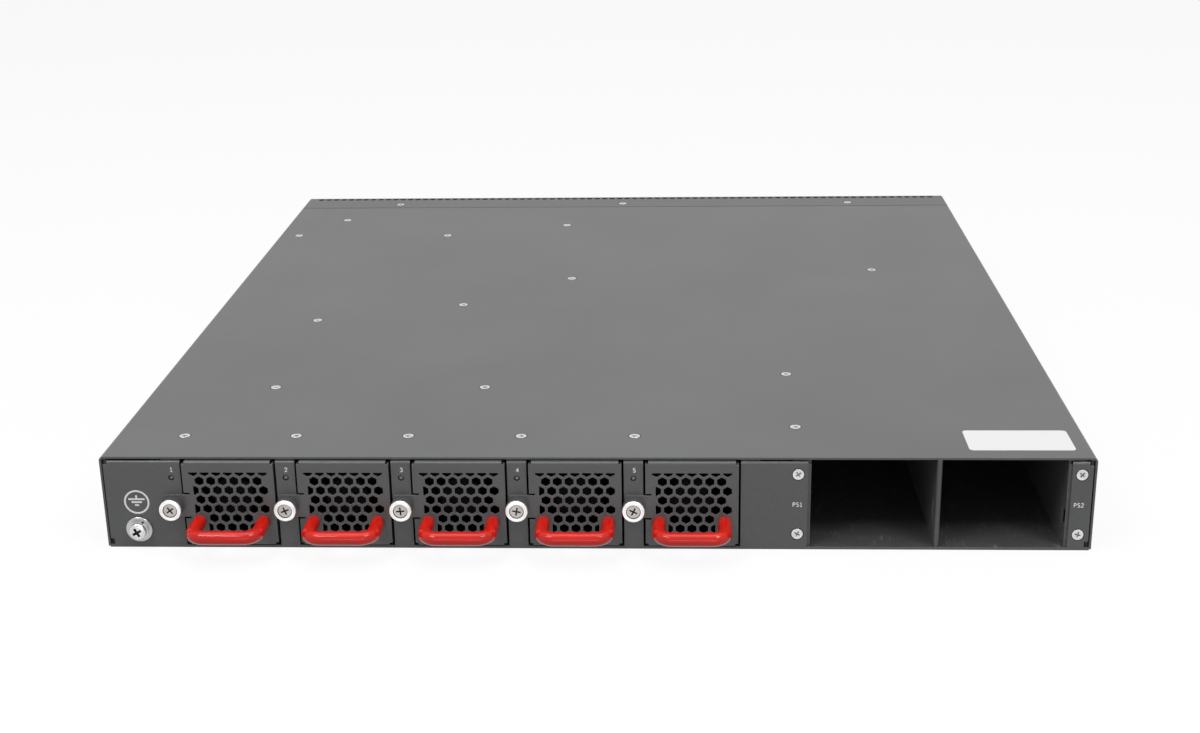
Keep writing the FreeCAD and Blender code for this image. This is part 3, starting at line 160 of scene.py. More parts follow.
class Shader:
    """A material under construction: its nodes, its links and the surface shader."""

    def __init__(self, name):
        self.material = bpy.data.materials.new(name)
        self.material.use_nodes = True
        self.tree = self.material.node_tree
        self.surface = self.tree.nodes["Principled BSDF"]
        coordinates = self.tree.nodes.new("ShaderNodeTexCoord")
        self.place = coordinates.outputs["Object"]
        self.facing = coordinates.outputs["Normal"]

    def set(self, **values):
        for name, value in values.items():
            self.surface.inputs[name.replace("_", " ")].default_value = value

    def link(self, source, target):
        self.tree.links.new(source, target)

    def stretched(self, scale):
        mapping = self.tree.nodes.new("ShaderNodeMapping")
        mapping.inputs["Scale"].default_value = scale
        self.link(self.place, mapping.inputs["Vector"])
        return mapping.outputs["Vector"]

    def noise(self, size, detail=2.0, roughness=0.5, stretch=None):
        """Noise whose features are about the given size in millimetres."""
        texture = self.tree.nodes.new("ShaderNodeTexNoise")
        texture.inputs["Scale"].default_value = 1 / (size * MM)
        texture.inputs["Detail"].default_value = detail
        texture.inputs["Roughness"].default_value = roughness
        self.link(self.stretched(stretch) if stretch else self.place, texture.inputs["Vector"])
        return texture.outputs["Fac"]

    def cells(self, size):
        texture = self.tree.nodes.new("ShaderNodeTexVoronoi")
        texture.inputs["Scale"].default_value = 1 / (size * MM)
        self.link(self.place, texture.inputs["Vector"])
        return texture.outputs["Distance"]

    def ramp(self, source, stops):
        """A colour ramp by (position, colour) stops; a plain number is a grey."""
        node = self.tree.nodes.new("ShaderNodeValToRGB")
        elements = node.color_ramp.elements
        while len(elements) < len(stops):
            elements.new(0.5)
        for element, (position, colour) in zip(elements, stops):
            element.position = position
            element.color = (colour, colour, colour, 1) if isinstance(colour, float) else (*colour, 1)
        self.link(source, node.inputs["Fac"])
        return node.outputs["Color"]

    def vary(self, source, first, second, start=0.3, end=0.7):
        """From one colour or grey to another as the source goes from start to end."""
        return self.ramp(source, [(start, first), (end, second)])

    def tint(self, source, colour, darkest, lightest, start=0.3, end=0.7):
        """Shades of a colour as the source goes from start to end."""
        return self.vary(source, shade(colour, darkest), shade(colour, lightest), start, end)

    def blend(self, factor, first, second, mode="MIX"):
        node = self.tree.nodes.new("ShaderNodeMix")
        node.data_type = "RGBA"
        node.blend_type = mode
        for name, source in (("Factor", factor), ("A", first), ("B", second)):
            socket = node.inputs[name]
            if hasattr(source, "links"):
                self.link(source, socket)
            elif isinstance(source, float):
                socket.default_value = source
            else:
                socket.default_value = (*source, 1)
        return node.outputs["Result"]

    def both(self, first, second):
        """The product of two masks or colours."""
        return self.blend(1.0, first, second, "MULTIPLY")

    def upward(self):
        """1 where the surface faces up and 0 on walls."""
        parts = self.tree.nodes.new("ShaderNodeSeparateXYZ")
        self.link(self.facing, parts.inputs["Vector"])
        return self.vary(parts.outputs["Z"], 0.0, 1.0, start=0.5)

    def scuffs(self):
        """Patches of short scratches along the way that modules slide."""
        scratches = self.noise(size=0.9, detail=4, roughness=0.7, stretch=(1, 0.12, 1))
        lines = self.vary(scratches, 0.0, 1.0, start=0.54, end=0.66)
        patches = self.vary(self.noise(size=11, detail=3), 0.0, 0.7, start=0.46, end=0.62)
        return self.both(lines, patches)

    def rounded(self, radius):
        """Normals of edges softened to a radius in millimetres, and a mask of those edges."""
        bevel = self.tree.nodes.new("ShaderNodeBevel")
        bevel.samples = 4
        bevel.inputs["Radius"].default_value = radius * MM
        agree = self.tree.nodes.new("ShaderNodeVectorMath")
        agree.operation = "DOT_PRODUCT"
        self.link(bevel.outputs["Normal"], agree.inputs[0])
        self.link(self.facing, agree.inputs[1])
        return bevel.outputs["Normal"], self.vary(agree.outputs["Value"], 1.0, 0.0, start=0.8, end=0.985)

    def bump(self, source, depth, strength, over=None):
        """Bumps of a depth in millimetres, laid over the normals of an earlier step if there is one."""
        node = self.tree.nodes.new("ShaderNodeBump")
        node.inputs["Distance"].default_value = depth * MM
        node.inputs["Strength"].default_value = strength
        self.link(source, node.inputs["Height"])
        if over:
            self.link(over, node.inputs["Normal"])
        self.link(node.outputs["Normal"], self.surface.inputs["Normal"])
        return node.outputs["Normal"]

    def colour(self, source):
        self.link(source, self.surface.inputs["Base Color"])

    def gloss(self, source, smoothest, roughest):
        self.link(self.vary(source, smoothest, roughest), self.surface.inputs["Roughness"])


COAT_COLOUR = (0.1, 0.101, 0.103)
# Painted shade on faces that look up, as a factor on the coat's colour.
PAINTED_FLOOR_SHADE = 0.72
SCUFF_SHADE = 2.4
EDGE_RADIUS = 0.3


def powder_coat(name, colour, roughness, grain, edge=1.7, scuffed=None):
    """Fine-texture powder coat: mottled colour, sandy grain, a faint orange peel and edges painted lighter,
    partly as wear and partly as painted highlight.

    Where modules slide it is scuffed: on its floor, or all over. With floor scuffs, the faces that look up
    are also painted darker, as painted shade.
    """
    shader = Shader(name)
    cloud = shader.noise(size=60, detail=3)
    speck = shader.noise(size=grain, detail=3, roughness=0.7)
    peel = shader.noise(size=2.5, detail=1)
    soft, edges = shader.rounded(EDGE_RADIUS)
    mottled = shader.tint(cloud, colour, darkest=0.93, lightest=1.07)
    speckled = shader.vary(speck, 0.82, 1.0, start=0.35, end=0.65)
    grained = shader.both(mottled, speckled)
    if scuffed:
        marks = shader.scuffs()
        if scuffed == "floor":
            floor = shader.upward()
            marks = shader.both(marks, floor)
            # Painted shade: faces that look up, such as the floor of the bays, are coloured darker.
            grained = shader.blend(floor, grained, shade(colour, PAINTED_FLOOR_SHADE))
        grained = shader.blend(marks, grained, shade(colour, SCUFF_SHADE))
    # Edges are painted lighter in patches: partly rubbed wear, partly painted highlight on folds and hole
    # rims.
    patches = shader.vary(shader.noise(size=7, detail=3), 0.45, 1.0, start=0.35, end=0.6)
    worn_and_highlit_edges = shader.both(edges, patches)
    shader.colour(shader.blend(worn_and_highlit_edges, grained, shade(colour, edge)))
    shader.gloss(speck, smoothest=roughness - 0.06, roughest=roughness + 0.08)
    sandy = shader.bump(speck, depth=0.03, strength=0.25, over=soft)
    shader.bump(peel, depth=0.02, strength=0.1, over=sandy)
    shader.set(Specular_IOR_Level=0.5)
    return shader.material


def plated(name, colour, roughness, metallic=1.0):
    """Plated steel, clouded and with a fine uneven gloss."""
    shader = Shader(name)
    cloud = shader.noise(size=4, detail=3)
    fine = shader.noise(size=0.25, detail=4)
    shader.colour(shader.tint(cloud, colour, darkest=0.86, lightest=1.08))
    shader.gloss(fine, smoothest=roughness - 0.06, roughest=roughness + 0.1)
    shader.bump(fine, depth=0.01, strength=0.2)
    shader.set(Metallic=metallic)
    return shader.material


def moulded(name, colour, roughness, grain=0.4, specular=0.5):
    """Moulded plastic with a fine spark-eroded grain."""
    shader = Shader(name)
    fine = shader.noise(size=grain)
    cloud = shader.noise(size=12)
    shader.colour(shader.tint(cloud, colour, darkest=0.85, lightest=1.15))
    shader.gloss(fine, smoothest=roughness - 0.05, roughest=roughness + 0.08)
    shader.bump(fine, depth=0.02, strength=0.2)
    shader.set(Specular_IOR_Level=specular)
    return shader.material


def dipped(name, colour):
    """Glossy dip coating: soft waviness and slight clouds in its colour."""
    shader = Shader(name)
    cloud = shader.noise(size=9)
    wave = shader.noise(size=5, detail=1)
    fine = shader.noise(size=0.8)
    shader.colour(shader.tint(cloud, colour, darkest=0.92, lightest=1.06))
    shader.gloss(cloud, smoothest=0.1, roughest=0.15)
    wavy = shader.bump(wave, depth=0.1, strength=0.1)
    shader.bump(fine, depth=0.01, strength=0.1, over=wavy)
    shader.set(Specular_IOR_Level=0.3)
    return shader.material


def printed(name, colour, roughness=0.5):
    """Screen-printed ink or label stock with slight unevenness."""
    shader = Shader(name)
    fine = shader.noise(size=0.3, detail=3)
    shader.colour(shader.tint(fine, colour, darkest=0.93, lightest=1.0, start=0.25, end=0.75))
    shader.gloss(fine, smoothest=roughness - 0.05, roughest=roughness + 0.05)
    shader.bump(fine, depth=0.01, strength=0.15)
    return shader.material


def laminate(name, colour):
    """Circuit board: solder mask over faint tracks."""
    shader = Shader(name)
    tracks = shader.cells(size=2.2)
    cloud = shader.noise(size=3)
    shader.colour(shader.ramp(tracks, [(0.0, shade(colour, 1.5)), (0.25, colour), (0.8, shade(colour, 0.8))]))
    shader.gloss(cloud, smoothest=0.3, roughest=0.42)
    shader.bump(tracks, depth=0.03, strength=0.2)
    return shader.material


# edge sets how much lighter the edges are painted, partly as wear and partly as painted highlight.
COAT = powder_coat("grey_coat", COAT_COLOUR, roughness=0.32, grain=0.45, scuffed="floor")
COVER_COAT = powder_coat("cover_coat", COAT_COLOUR, roughness=0.42, grain=0.4)
TRAY_COAT = powder_coat("fan_tray_coat", shade(COAT_COLOUR, 1.05), roughness=0.3, grain=0.5, edge=2.4)
FRONT_COAT = powder_coat("front_coat", shade(COAT_COLOUR, 0.98), roughness=0.45, grain=0.45)
# Painted shade: the bay walls and divider are coloured darker than the outer coat.
SHADED_BAY_COLOUR = shade(COAT_COLOUR, 0.85)
BAY_COAT = powder_coat("bay_coat", SHADED_BAY_COLOUR, roughness=0.5, grain=0.6, edge=2.6, scuffed="all")
# Painted shadow: the fan dividers are coloured near black, so the gap under the cover reads as shadow.
PAINTED_SHADOW_COAT = powder_coat("painted_shadow_coat", shade(COAT_COLOUR, 0.2), roughness=0.6, grain=0.6)
RED = dipped("red_dip", (0.62, 0.013, 0.006))
NICKEL = plated("bright_nickel", (0.68, 0.68, 0.67), roughness=0.26)
SILVER = plated("satin_silver", (0.9, 0.9, 0.89), roughness=0.42)
WASHER = plated("washer_steel", (0.46, 0.47, 0.48), roughness=0.32)
# Painted shade: the walls of the cross recesses in the nickel screws are coloured darker than the head.
SHADED_RECESS = plated("driver_recess", (0.3, 0.29, 0.28), roughness=0.5)
CENTRE = plated("screw_centre", (0.52, 0.49, 0.46), roughness=0.36)
# Painted shade: near-black walls of the thumbscrew and ground screw recesses, and the sunk well round the
# thumbscrew centre.
SHADED_SLOT = plated("slot_painted_shade", (0.07, 0.067, 0.065), roughness=0.5)
# Painted shadow: the near-black ring round each countersunk head.
PAINTED_SEAT_SHADOW = moulded("painted_seat_shadow", (0.02, 0.02, 0.021), roughness=0.6, specular=0.2)
ZINC = plated("zinc_steel", (0.62, 0.63, 0.65), roughness=0.36)
TIN = plated("cage_steel", (0.66, 0.66, 0.64), roughness=0.34)
ALUMINIUM = plated("sink_aluminium", (0.72, 0.73, 0.75), roughness=0.4)
BLACK_OXIDE = plated("black_oxide", (0.15, 0.15, 0.152), roughness=0.45, metallic=0.6)
BLACK_PLASTIC = moulded("black_plastic", (0.014, 0.014, 0.015), roughness=0.5)
FAN_PLASTIC = moulded("fan_plastic", (0.006, 0.006, 0.0065), roughness=0.6, specular=0.1)
BOARD = laminate("circuit_board", (0.02, 0.11, 0.05))
INK = printed("white_ink", (0.9, 0.9, 0.89))
PAPER = printed("label_stock", (0.77, 0.77, 0.76), roughness=0.38)
LENS = moulded("light_pipe", (0.16, 0.17, 0.15), roughness=0.14, grain=0.8)


def fan_nodes(*pieces):
    return [f"fan_{number}_{piece}" for number in FAN_NUMBERS for piece in pieces]


NODE_LOOKS = {
    COAT: ["base_tray"],
    FRONT_COAT: ["front_panel"],
    COVER_COAT: ["top_cover"],
    BAY_COAT: ["psu_left_wall", "psu_right_wall", "psu_divider"],
    PAINTED_SHADOW_COAT: ["fan_dividers"],
    TRAY_COAT: fan_nodes("tray"),
    FAN_PLASTIC: fan_nodes("frame", "rotor"),
    BLACK_PLASTIC: [
        "fan_sockets", "psu_sockets", "chips", "management_jack", "console_jack", *fan_nodes("plug"),
    ],
    ZINC: ["front_brace", "board_standoffs", "cover_posts"],
    BOARD: ["fan_board", "power_board", "main_board", "memory_module"],
    ALUMINIUM: ["switch_heat_sink", "processor_heat_sink"],
    TIN: ["sfp_cages", "qsfp_cages"],
}
for material, names in NODE_LOOKS.items():
    for name in names:
        nodes[name].data.materials.clear()
        nodes[name].data.materials.append(material)


# Cross recess of a screw's head, given by its reach, half width and depth

CROSS_TAPER = 0.62


def cross_outline(reach, half):
    """Corners of a plus sign, anticlockwise."""
    corners = []
    for quarter in range(4):
        turn = Matrix.Rotation(quarter * math.pi / 2, 2)
        for x, y in ((reach, -half), (reach, half), (half, half)):
            corners.append(turn @ Vector((x, y)))
    return corners


def driver_recess(mesh, rim, height, cross, place, face=0, wall=1):
    """Fills a round face from its rim to a cross recess, and makes the walls and floor of the recess."""
    reach, half, depth = cross
    outline = cross_outline(reach, half)
    mouth = [mesh.verts.new(place @ Vector((*corner, height))) for corner in outline]
    floor = [mesh.verts.new(place @ Vector((*(corner * CROSS_TAPER), height - depth))) for corner in outline]
    edges = []
    for loop in (rim, mouth):
        for index, corner in enumerate(loop):
            pair = (corner, loop[(index + 1) % len(loop)])
            edges.append(mesh.edges.get(pair) or mesh.edges.new(pair))
    filled = bmesh.ops.triangle_fill(mesh, use_beauty=True, use_dissolve=False, edges=edges)
    for element in filled["geom"]:
        if isinstance(element, bmesh.types.BMFace):
            element.material_index = face
    bridge(mesh, mouth, floor, wall)
    cap(mesh, floor, wall)


# Countersunk screws of the cover and the rear panel

HEAD_RADIUS = 2.6 * MM
HEAD_LIFT = 0.03 * MM
HEAD_DEPTH = 0.9 * MM
HEAD_TAPER = 0.7
HEAD_EDGE = 0.14 * MM
HEAD_BEVEL = 0.12 * MM
HEAD_SIDES = 40
HEAD_CROSS = (1.35 * MM, 0.34 * MM, 0.6 * MM)
SEAT_SHADOW_LOW = 0.005 * MM
SEAT_SHADOW_HIGH = 0.015 * MM
SEAT_SHADOW_LAP = 0.1 * MM
SEAT_SHADOW_RIM = 0.3 * MM


def flat_screw(mesh, place):
    """A countersunk head: its cone, a small bevel, the driver recess and a dark ring round it, a painted
    shadow of the countersink.
    """
    metal, recess, seat = range(3)
    low, high = SEAT_SHADOW_LOW - HEAD_LIFT, SEAT_SHADOW_HIGH - HEAD_LIFT
    inner, outer = HEAD_RADIUS - SEAT_SHADOW_LAP, HEAD_RADIUS + SEAT_SHADOW_RIM
    # Painted shadow: a thin near-black ring on the surface round the head.
    rim = [(inner, low), (outer, low), (outer, high), (inner, high)]
    lathe(mesh, rim, HEAD_SIDES, place, seat, ends="joined")
    cone = [
        (HEAD_RADIUS * HEAD_TAPER, -HEAD_DEPTH),
        (HEAD_RADIUS, -HEAD_EDGE),
        (HEAD_RADIUS - HEAD_BEVEL, 0.0),
    ]
    loops = lathe(mesh, cone, HEAD_SIDES, place, metal, ends="open")
    cap(mesh, loops[0], metal)
    driver_recess(mesh, loops[-1], 0.0, HEAD_CROSS, place, metal, recess)


def screw_set(name, places):
    mesh = bmesh.new()
    for place in places:
        flat_screw(mesh, place)
    piece = from_bmesh(name, mesh, smooth_angle=35)
    dress(piece, CHASSIS, [NICKEL, SHADED_RECESS, PAINTED_SEAT_SHADOW])


POST_CLEARANCE = 2 * MM
POST_SPREAD = 12 * MM


def post_points():
    """Tops of the hex posts, which carry most of the cover's screws."""
    vertices = nodes["cover_posts"].data.vertices
    points = [vertex.co for vertex in vertices if vertex.co.z > TOP - POST_CLEARANCE]
    found = []
    for point in points:
        near = [group for group in found if (group[0] - point).length < POST_SPREAD]
        if near:
            near[0].append(point)
        else:
            found.append([point])
    centres = [sum(group, Vector()) / len(group) for group in found]
    return [(centre.x, centre.y) for centre in centres]


REAR_ROW = 26.4 * MM
WALL_ROW = (37.9 * MM, 109.4 * MM)
WALL_ROW_INSET = 4.85 * MM
STRIP_ROW = 17.5 * MM
STRIP_STEP = 153.0 * MM
COVER_TURN = 0.7


def make_cover_screws():
    """Screws along the rear edge, beside the bays, on the hex posts and along the front flange."""
    points = [(thumb_place(number)[0], REAR + REAR_ROW) for number in FAN_NUMBERS]
    points += [(PSU_LEFT - WALL_ROW_INSET, REAR + depth) for depth in WALL_ROW]
    points += post_points()
    points += [(step * STRIP_STEP, FRONT - STRIP_ROW) for step in (-1, 0, 1)]
    places = [on_top(x, y, HEAD_LIFT, COVER_TURN * index) for index, (x, y) in enumerate(points)]
    screw_set("cover_screws", places)


PANEL_SCREW_X = 5.7 * MM
PANEL_SCREW_HEIGHTS = (7.5 * MM, 36.0 * MM)
PANEL_TURN = 0.3
PANEL_TURN_PER_METRE = 40


def make_rear_screws():
    """Two screws in the rear panel on each side of the bays."""
    places = []
    for x in (PSU_LEFT - PANEL_SCREW_X, PSU_RIGHT + PANEL_SCREW_X):
        for z in PANEL_SCREW_HEIGHTS:
            places.append(on_rear(x, z, HEAD_LIFT, PANEL_TURN + PANEL_TURN_PER_METRE * (x + z)))
    screw_set("rear_screws", places)


make_cover_screws()
make_rear_screws()


# Captive thumbscrews, their faces made of rings by radius and depth

KNOB_TEETH = 36
KNOB_TOOTH = 0.16 * MM
KNOB_DISC = 1.25 * MM
KNOB_EDGE = 0.25 * MM
KNOB_BEVEL = 0.3 * MM
KNOB_GROOVE = [(4.15 * MM, 0.0), (4.05 * MM, 0.1 * MM), (3.95 * MM, 0.0), (3.25 * MM, 0.0)]
KNOB_TURN = 0.9
KNOB_TURN_STEP = 1.3
BARREL_BACK = 2.9 * MM
BARREL_INSET = 0.15 * MM
BARREL_TOOTH = 0.25 * MM
CENTRE_WELL = 3.2 * MM
CENTRE_FOOT = 3.05 * MM
CENTRE_CROWN = 2.9 * MM
CENTRE_DEPTH = 0.4 * MM
CENTRE_RISE = 0.15 * MM
CENTRE_CROSS = (1.9 * MM, 0.36 * MM, 1.2 * MM)
BOLT_RADIUS = 1.48 * MM
BOLT_SIDES = 20
BOLT_GAP = 0.01 * MM
BOLT_POINT = 0.35 * MM
THREAD_START = 0.2 * MM
THREAD_PITCH = 0.5 * MM
THREAD_DEPTH = 0.28 * MM


def knurled(mesh, place, radius, depth, teeth, low, high, material=0):
    """A straight-knurled band between two heights."""
    loops = []
    for height in (low, high):
        loop = []
        for side, angle in enumerate(round_angles(teeth * 2)):
            reach = radius - depth * (side % 2)
            loop.append(mesh.verts.new(place @ polar(reach, angle, height)))
        loops.append(loop)
    bridge(mesh, loops[0], loops[1], material)
    return loops


def thread_profile(tip):
    """Outline of the bolt: a plain neck, V-shaped threads and a blunt point."""
    profile = [(BOLT_RADIUS, BARREL_BACK - BOLT_GAP)]
    height = THREAD_START
    while height > tip + THREAD_PITCH:
        profile.append((BOLT_RADIUS, height))
        profile.append((BOLT_RADIUS - THREAD_DEPTH, height - THREAD_PITCH / 2))
        height -= THREAD_PITCH
    profile.append((BOLT_RADIUS - BOLT_POINT, tip))
    return profile


def make_thumbscrew(number):
    """Silver knob with a fine groove and a sunk cross-head centre, on a black knurled barrel and a bolt."""
    x, z = thumb_place(number)
    low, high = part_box(f"fan_{number}_screw")
    front, tip = REAR - low.y, REAR - high.y
    radius = (high.x - low.x) / 2
    place = on_rear(x, z, turn=KNOB_TURN + KNOB_TURN_STEP * number)
    silver, recess, black, dark = range(4)
    disc = front - KNOB_DISC
    sunk = front - CENTRE_DEPTH
    crown = sunk + CENTRE_RISE
    mesh = bmesh.new()
    barrel = knurled(mesh, place, radius - BARREL_INSET, BARREL_TOOTH, KNOB_TEETH, BARREL_BACK, disc, black)
    cap(mesh, barrel[0], black)
    knob = knurled(mesh, place, radius, KNOB_TOOTH, KNOB_TEETH, disc, front - KNOB_EDGE, silver)
    bridge(mesh, barrel[1], knob[0], silver)
    rings = [(radius - KNOB_BEVEL, front, silver)]
    rings += [(reach, front - depth, silver) for reach, depth in KNOB_GROOVE]
    # The sunk well round the centre is coloured near black, as painted shade.
    rings += [(CENTRE_WELL, sunk, dark), (CENTRE_FOOT, sunk, dark), (CENTRE_CROWN, crown, recess)]
    outer = knob[1]
    for reach, height, material in rings:
        inner = ring(mesh, reach, height, KNOB_TEETH * 2, place)
        bridge(mesh, outer, inner, material)
        outer = inner
    driver_recess(mesh, outer, crown, CENTRE_CROSS, place, recess, dark)
    lathe(mesh, thread_profile(tip), BOLT_SIDES, place, silver)
    piece = from_bmesh(f"fan_{number}_thumbscrew", mesh, smooth_angle=30)
    dress(piece, f"fan_screw_{number}", [SILVER, CENTRE, BLACK_OXIDE, SHADED_SLOT])
    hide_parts(f"fan_{number}_screw")


FERRULE_RADIUS = 4.85 * MM
FERRULE_BORE = 1.8 * MM
FERRULE_LOW = 1.0 * MM
FERRULE_HIGH = 2.78 * MM
FERRULE_TEETH = 40
FERRULE_TOOTH = 0.22 * MM


def make_ferrule(number):
    """The knurled sleeve that keeps the thumbscrew in the ear."""
    place = on_rear(*thumb_place(number))
    mesh = bmesh.new()
    band = knurled(mesh, place, FERRULE_RADIUS, FERRULE_TOOTH, FERRULE_TEETH, FERRULE_LOW, FERRULE_HIGH)
    bore = [ring(mesh, FERRULE_BORE, z, FERRULE_TEETH * 2, place) for z in (FERRULE_LOW, FERRULE_HIGH)]
    loft(mesh, [band[1], bore[1], bore[0], band[0]], ends="open")
    piece = from_bmesh(f"fan_{number}_ferrule", mesh, smooth_angle=25)
    dress(piece, f"fan_module_{number}", [BLACK_OXIDE])


for number in FAN_NUMBERS:
    make_thumbscrew(number)
    make_ferrule(number)


# Handles

HANDLE_BEND = 6.0 * MM
HANDLE_STRAIGHT = 1.5 * MM
BEND_STEPS = 14
BAR_SIDES = 28


def handle_path(low, high, radius):
    """Centre line of a handle: out from the face, round the bend, along the grip and back."""
    z = (low.z + high.z) / 2
    left, right = low.x + radius, high.x - radius
    grip = low.y + radius
    path = [Vector((left, high.y, z)), Vector((left, grip + HANDLE_BEND + HANDLE_STRAIGHT, z))]
    for step in range(BEND_STEPS + 1):
        angle = math.pi / 2 * step / BEND_STEPS
        across = HANDLE_BEND * (1 - math.cos(angle))
        back = HANDLE_BEND * (1 - math.sin(angle))
        path.append(Vector((left + across, grip + back, z)))
    mirrored = [Vector((left + right - point.x, point.y, z)) for point in reversed(path)]
    return path + mirrored


def tube(mesh, path, radius, sides):
    """A round tube along a level path."""
    loops = []
    up = Vector((0, 0, 1))
    for index, point in enumerate(path):
        before = path[max(index - 1, 0)]
        after = path[min(index + 1, len(path) - 1)]
        across = (after - before).normalized().cross(up)
        loop = []
        for angle in round_angles(sides):
            loop.append(mesh.verts.new(point + radius * (math.cos(angle) * across + math.sin(angle) * up)))
        loops.append(loop)
    loft(mesh, loops)


def make_handle(number):
    """A bent bar in a red dip coating."""
    low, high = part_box(f"fan_{number}_handle")
    radius = (high.z - low.z) / 2
    mesh = bmesh.new()
    tube(mesh, handle_path(low, high, radius), radius, BAR_SIDES)
    piece = from_bmesh(f"fan_{number}_dipped_handle", mesh, smooth_angle=50)
    dress(piece, f"fan_module_{number}", [RED])
    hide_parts(f"fan_{number}_handle")


for number in FAN_NUMBERS:
    make_handle(number)


# Fan lights

LIGHT_RADIUS = 1.0 * MM
LIGHT_SETBACK = 0.7 * MM
LIGHT_DOME = 0.5 * MM
LIGHT_SIDES = 28
DOME_STEPS = 6


def make_lights():
    """Round ends of the light pipes, set back a little in their holes."""
    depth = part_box("fan_lights")[1].y - REAR
    profile = [(LIGHT_RADIUS, -depth), (LIGHT_RADIUS, -LIGHT_SETBACK)]
    for step in range(1, DOME_STEPS):
        angle = math.pi / 2 * step / DOME_STEPS
        profile.append((LIGHT_RADIUS * math.cos(angle), -LIGHT_SETBACK + LIGHT_DOME * math.sin(angle)))
    height = middle("fan_lights").z
    mesh = bmesh.new()
    for number in FAN_NUMBERS:
        lathe(mesh, profile, LIGHT_SIDES, on_rear(thumb_place(number)[0], height))
    piece = from_bmesh("light_pipes", mesh, smooth_angle=40)
    dress(piece, CHASSIS, [LENS])
    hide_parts("fan_lights")


make_lights()


# Grounding point

WASHER_BORE = 2.3 * MM
WASHER_BEVEL = 0.2 * MM
WASHER_SIDES = 64
SPRING_BORE = 2.4 * MM
SPRING_GAP = math.radians(14)
SPRING_TURN = math.radians(60)
SPRING_STEPS = 60
SHANK_RADIUS = 2.0 * MM
PAN_WALL = 1.1 * MM
PAN_FLAT = 0.62
PAN_SIDES = 48
PAN_TURN = 0.5
PAN_CROSS = (2.2 * MM, 0.6 * MM, 1.7 * MM)


def make_ground_washer():
    """A flat ring with bevelled edges."""
    low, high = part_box("ground_washer")
    centre = middle("ground_washer")
    outer = (high.x - low.x) / 2
    inset = outer - WASHER_BEVEL
    thick = high.y - low.y
    profile = [(WASHER_BORE, 0.0), (inset, 0.0), (outer, WASHER_BEVEL)]
    profile += [(outer, thick - WASHER_BEVEL), (inset, thick), (WASHER_BORE, thick)]
    mesh = bmesh.new()
    lathe(mesh, profile, WASHER_SIDES, on_rear(centre.x, centre.z), ends="joined")
    piece = from_bmesh("ground_flat_washer", mesh, smooth_angle=35)
    dress(piece, CHASSIS, [WASHER])
    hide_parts("ground_washer")


def make_spring_washer():
    """A split ring, its ends a little apart."""
    low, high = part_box("ground_spring_washer")
    centre = middle("ground_spring_washer")
    place = on_rear(centre.x, centre.z)
    outer = (high.x - low.x) / 2
    back, front = REAR - high.y, REAR - low.y
    section = ((SPRING_BORE, back), (outer, back), (outer, front), (SPRING_BORE, front))
    mesh = bmesh.new()
    loops = []
    for step in range(SPRING_STEPS + 1):
        angle = SPRING_GAP / 2 + (2 * math.pi - SPRING_GAP) * step / SPRING_STEPS + SPRING_TURN
        loops.append([mesh.verts.new(place @ polar(radius, angle, height)) for radius, height in section])
    loft(mesh, loops)
    piece = from_bmesh("ground_split_washer", mesh, smooth_angle=35)
    dress(piece, CHASSIS, [NICKEL])
    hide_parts("ground_spring_washer")


def make_ground_screw():
    """Pan head with a deep cross recess, on a plain shank."""
    low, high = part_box("ground_screw")
    centre = middle("ground_screw")
    place = on_rear(centre.x, centre.z, turn=PAN_TURN)
    radius = (high.x - low.x) / 2
    flat = radius * PAN_FLAT
    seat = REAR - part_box("ground_spring_washer")[0].y
    top, tip = REAR - low.y, REAR - high.y
    shoulder = seat + PAN_WALL
    profile = [(SHANK_RADIUS, tip), (SHANK_RADIUS, seat), (radius, seat), (radius, shoulder)]
    for step in range(1, DOME_STEPS + 1):
        angle = math.pi / 2 * step / DOME_STEPS
        reach = flat + (radius - flat) * math.cos(angle)
        profile.append((reach, shoulder + (top - shoulder) * math.sin(angle)))
    mesh = bmesh.new()
    loops = lathe(mesh, profile, PAN_SIDES, place, ends="open")
    cap(mesh, loops[0])
    driver_recess(mesh, loops[-1], top, PAN_CROSS, place)
    piece = from_bmesh("ground_pan_screw", mesh, smooth_angle=35)
    dress(piece, CHASSIS, [NICKEL, SHADED_SLOT])
    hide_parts("ground_screw")


make_ground_washer()
make_spring_washer()
make_ground_screw()


# Printed marks, in thin solid bands

INK_ROOT = -0.01 * MM
INK_HEIGHT = 0.02 * MM
INK_RISE = 0.0005 * MM


def ink_band(mesh, pairs, out, ends):
    """A thin solid band of ink on the rear panel, along pairs of (x, z) points on its two edges."""
    loops = []
    for first, second in pairs:
        section = ((first, INK_ROOT), (second, INK_ROOT), (second, out), (first, out))
        loops.append([mesh.verts.new((x, REAR - lift, z)) for (x, z), lift in section])
    loft(mesh, loops, ends=ends)


def print_mark(name, bands, ringed=False):
    """A printed mark made of bands, each a hair over the one before; the first is a ring if asked."""
    mesh = bmesh.new()
    for index, pairs in enumerate(bands):
        ends = "joined" if ringed and index == 0 else "capped"
        ink_band(mesh, pairs, INK_HEIGHT + INK_RISE * index, ends)
    piece = from_bmesh(name, mesh)
    dress(piece, CHASSIS, [INK])


def bar(left, low, right, high):
    return [((left, low), (left, high)), ((right, low), (right, high))]


EARTH_LIFT = 13.1 * MM
EARTH_OUTER = 5.75 * MM
EARTH_INNER = 4.9 * MM
EARTH_LINE = 0.42 * MM
EARTH_STEM_TOP = 3.3 * MM
EARTH_STEPS = 72
# Half length and height of each bar, from the longest down
EARTH_BARS = [(3.7 * MM, 1.4 * MM), (2.35 * MM, -0.05 * MM), (0.95 * MM, -1.5 * MM)]


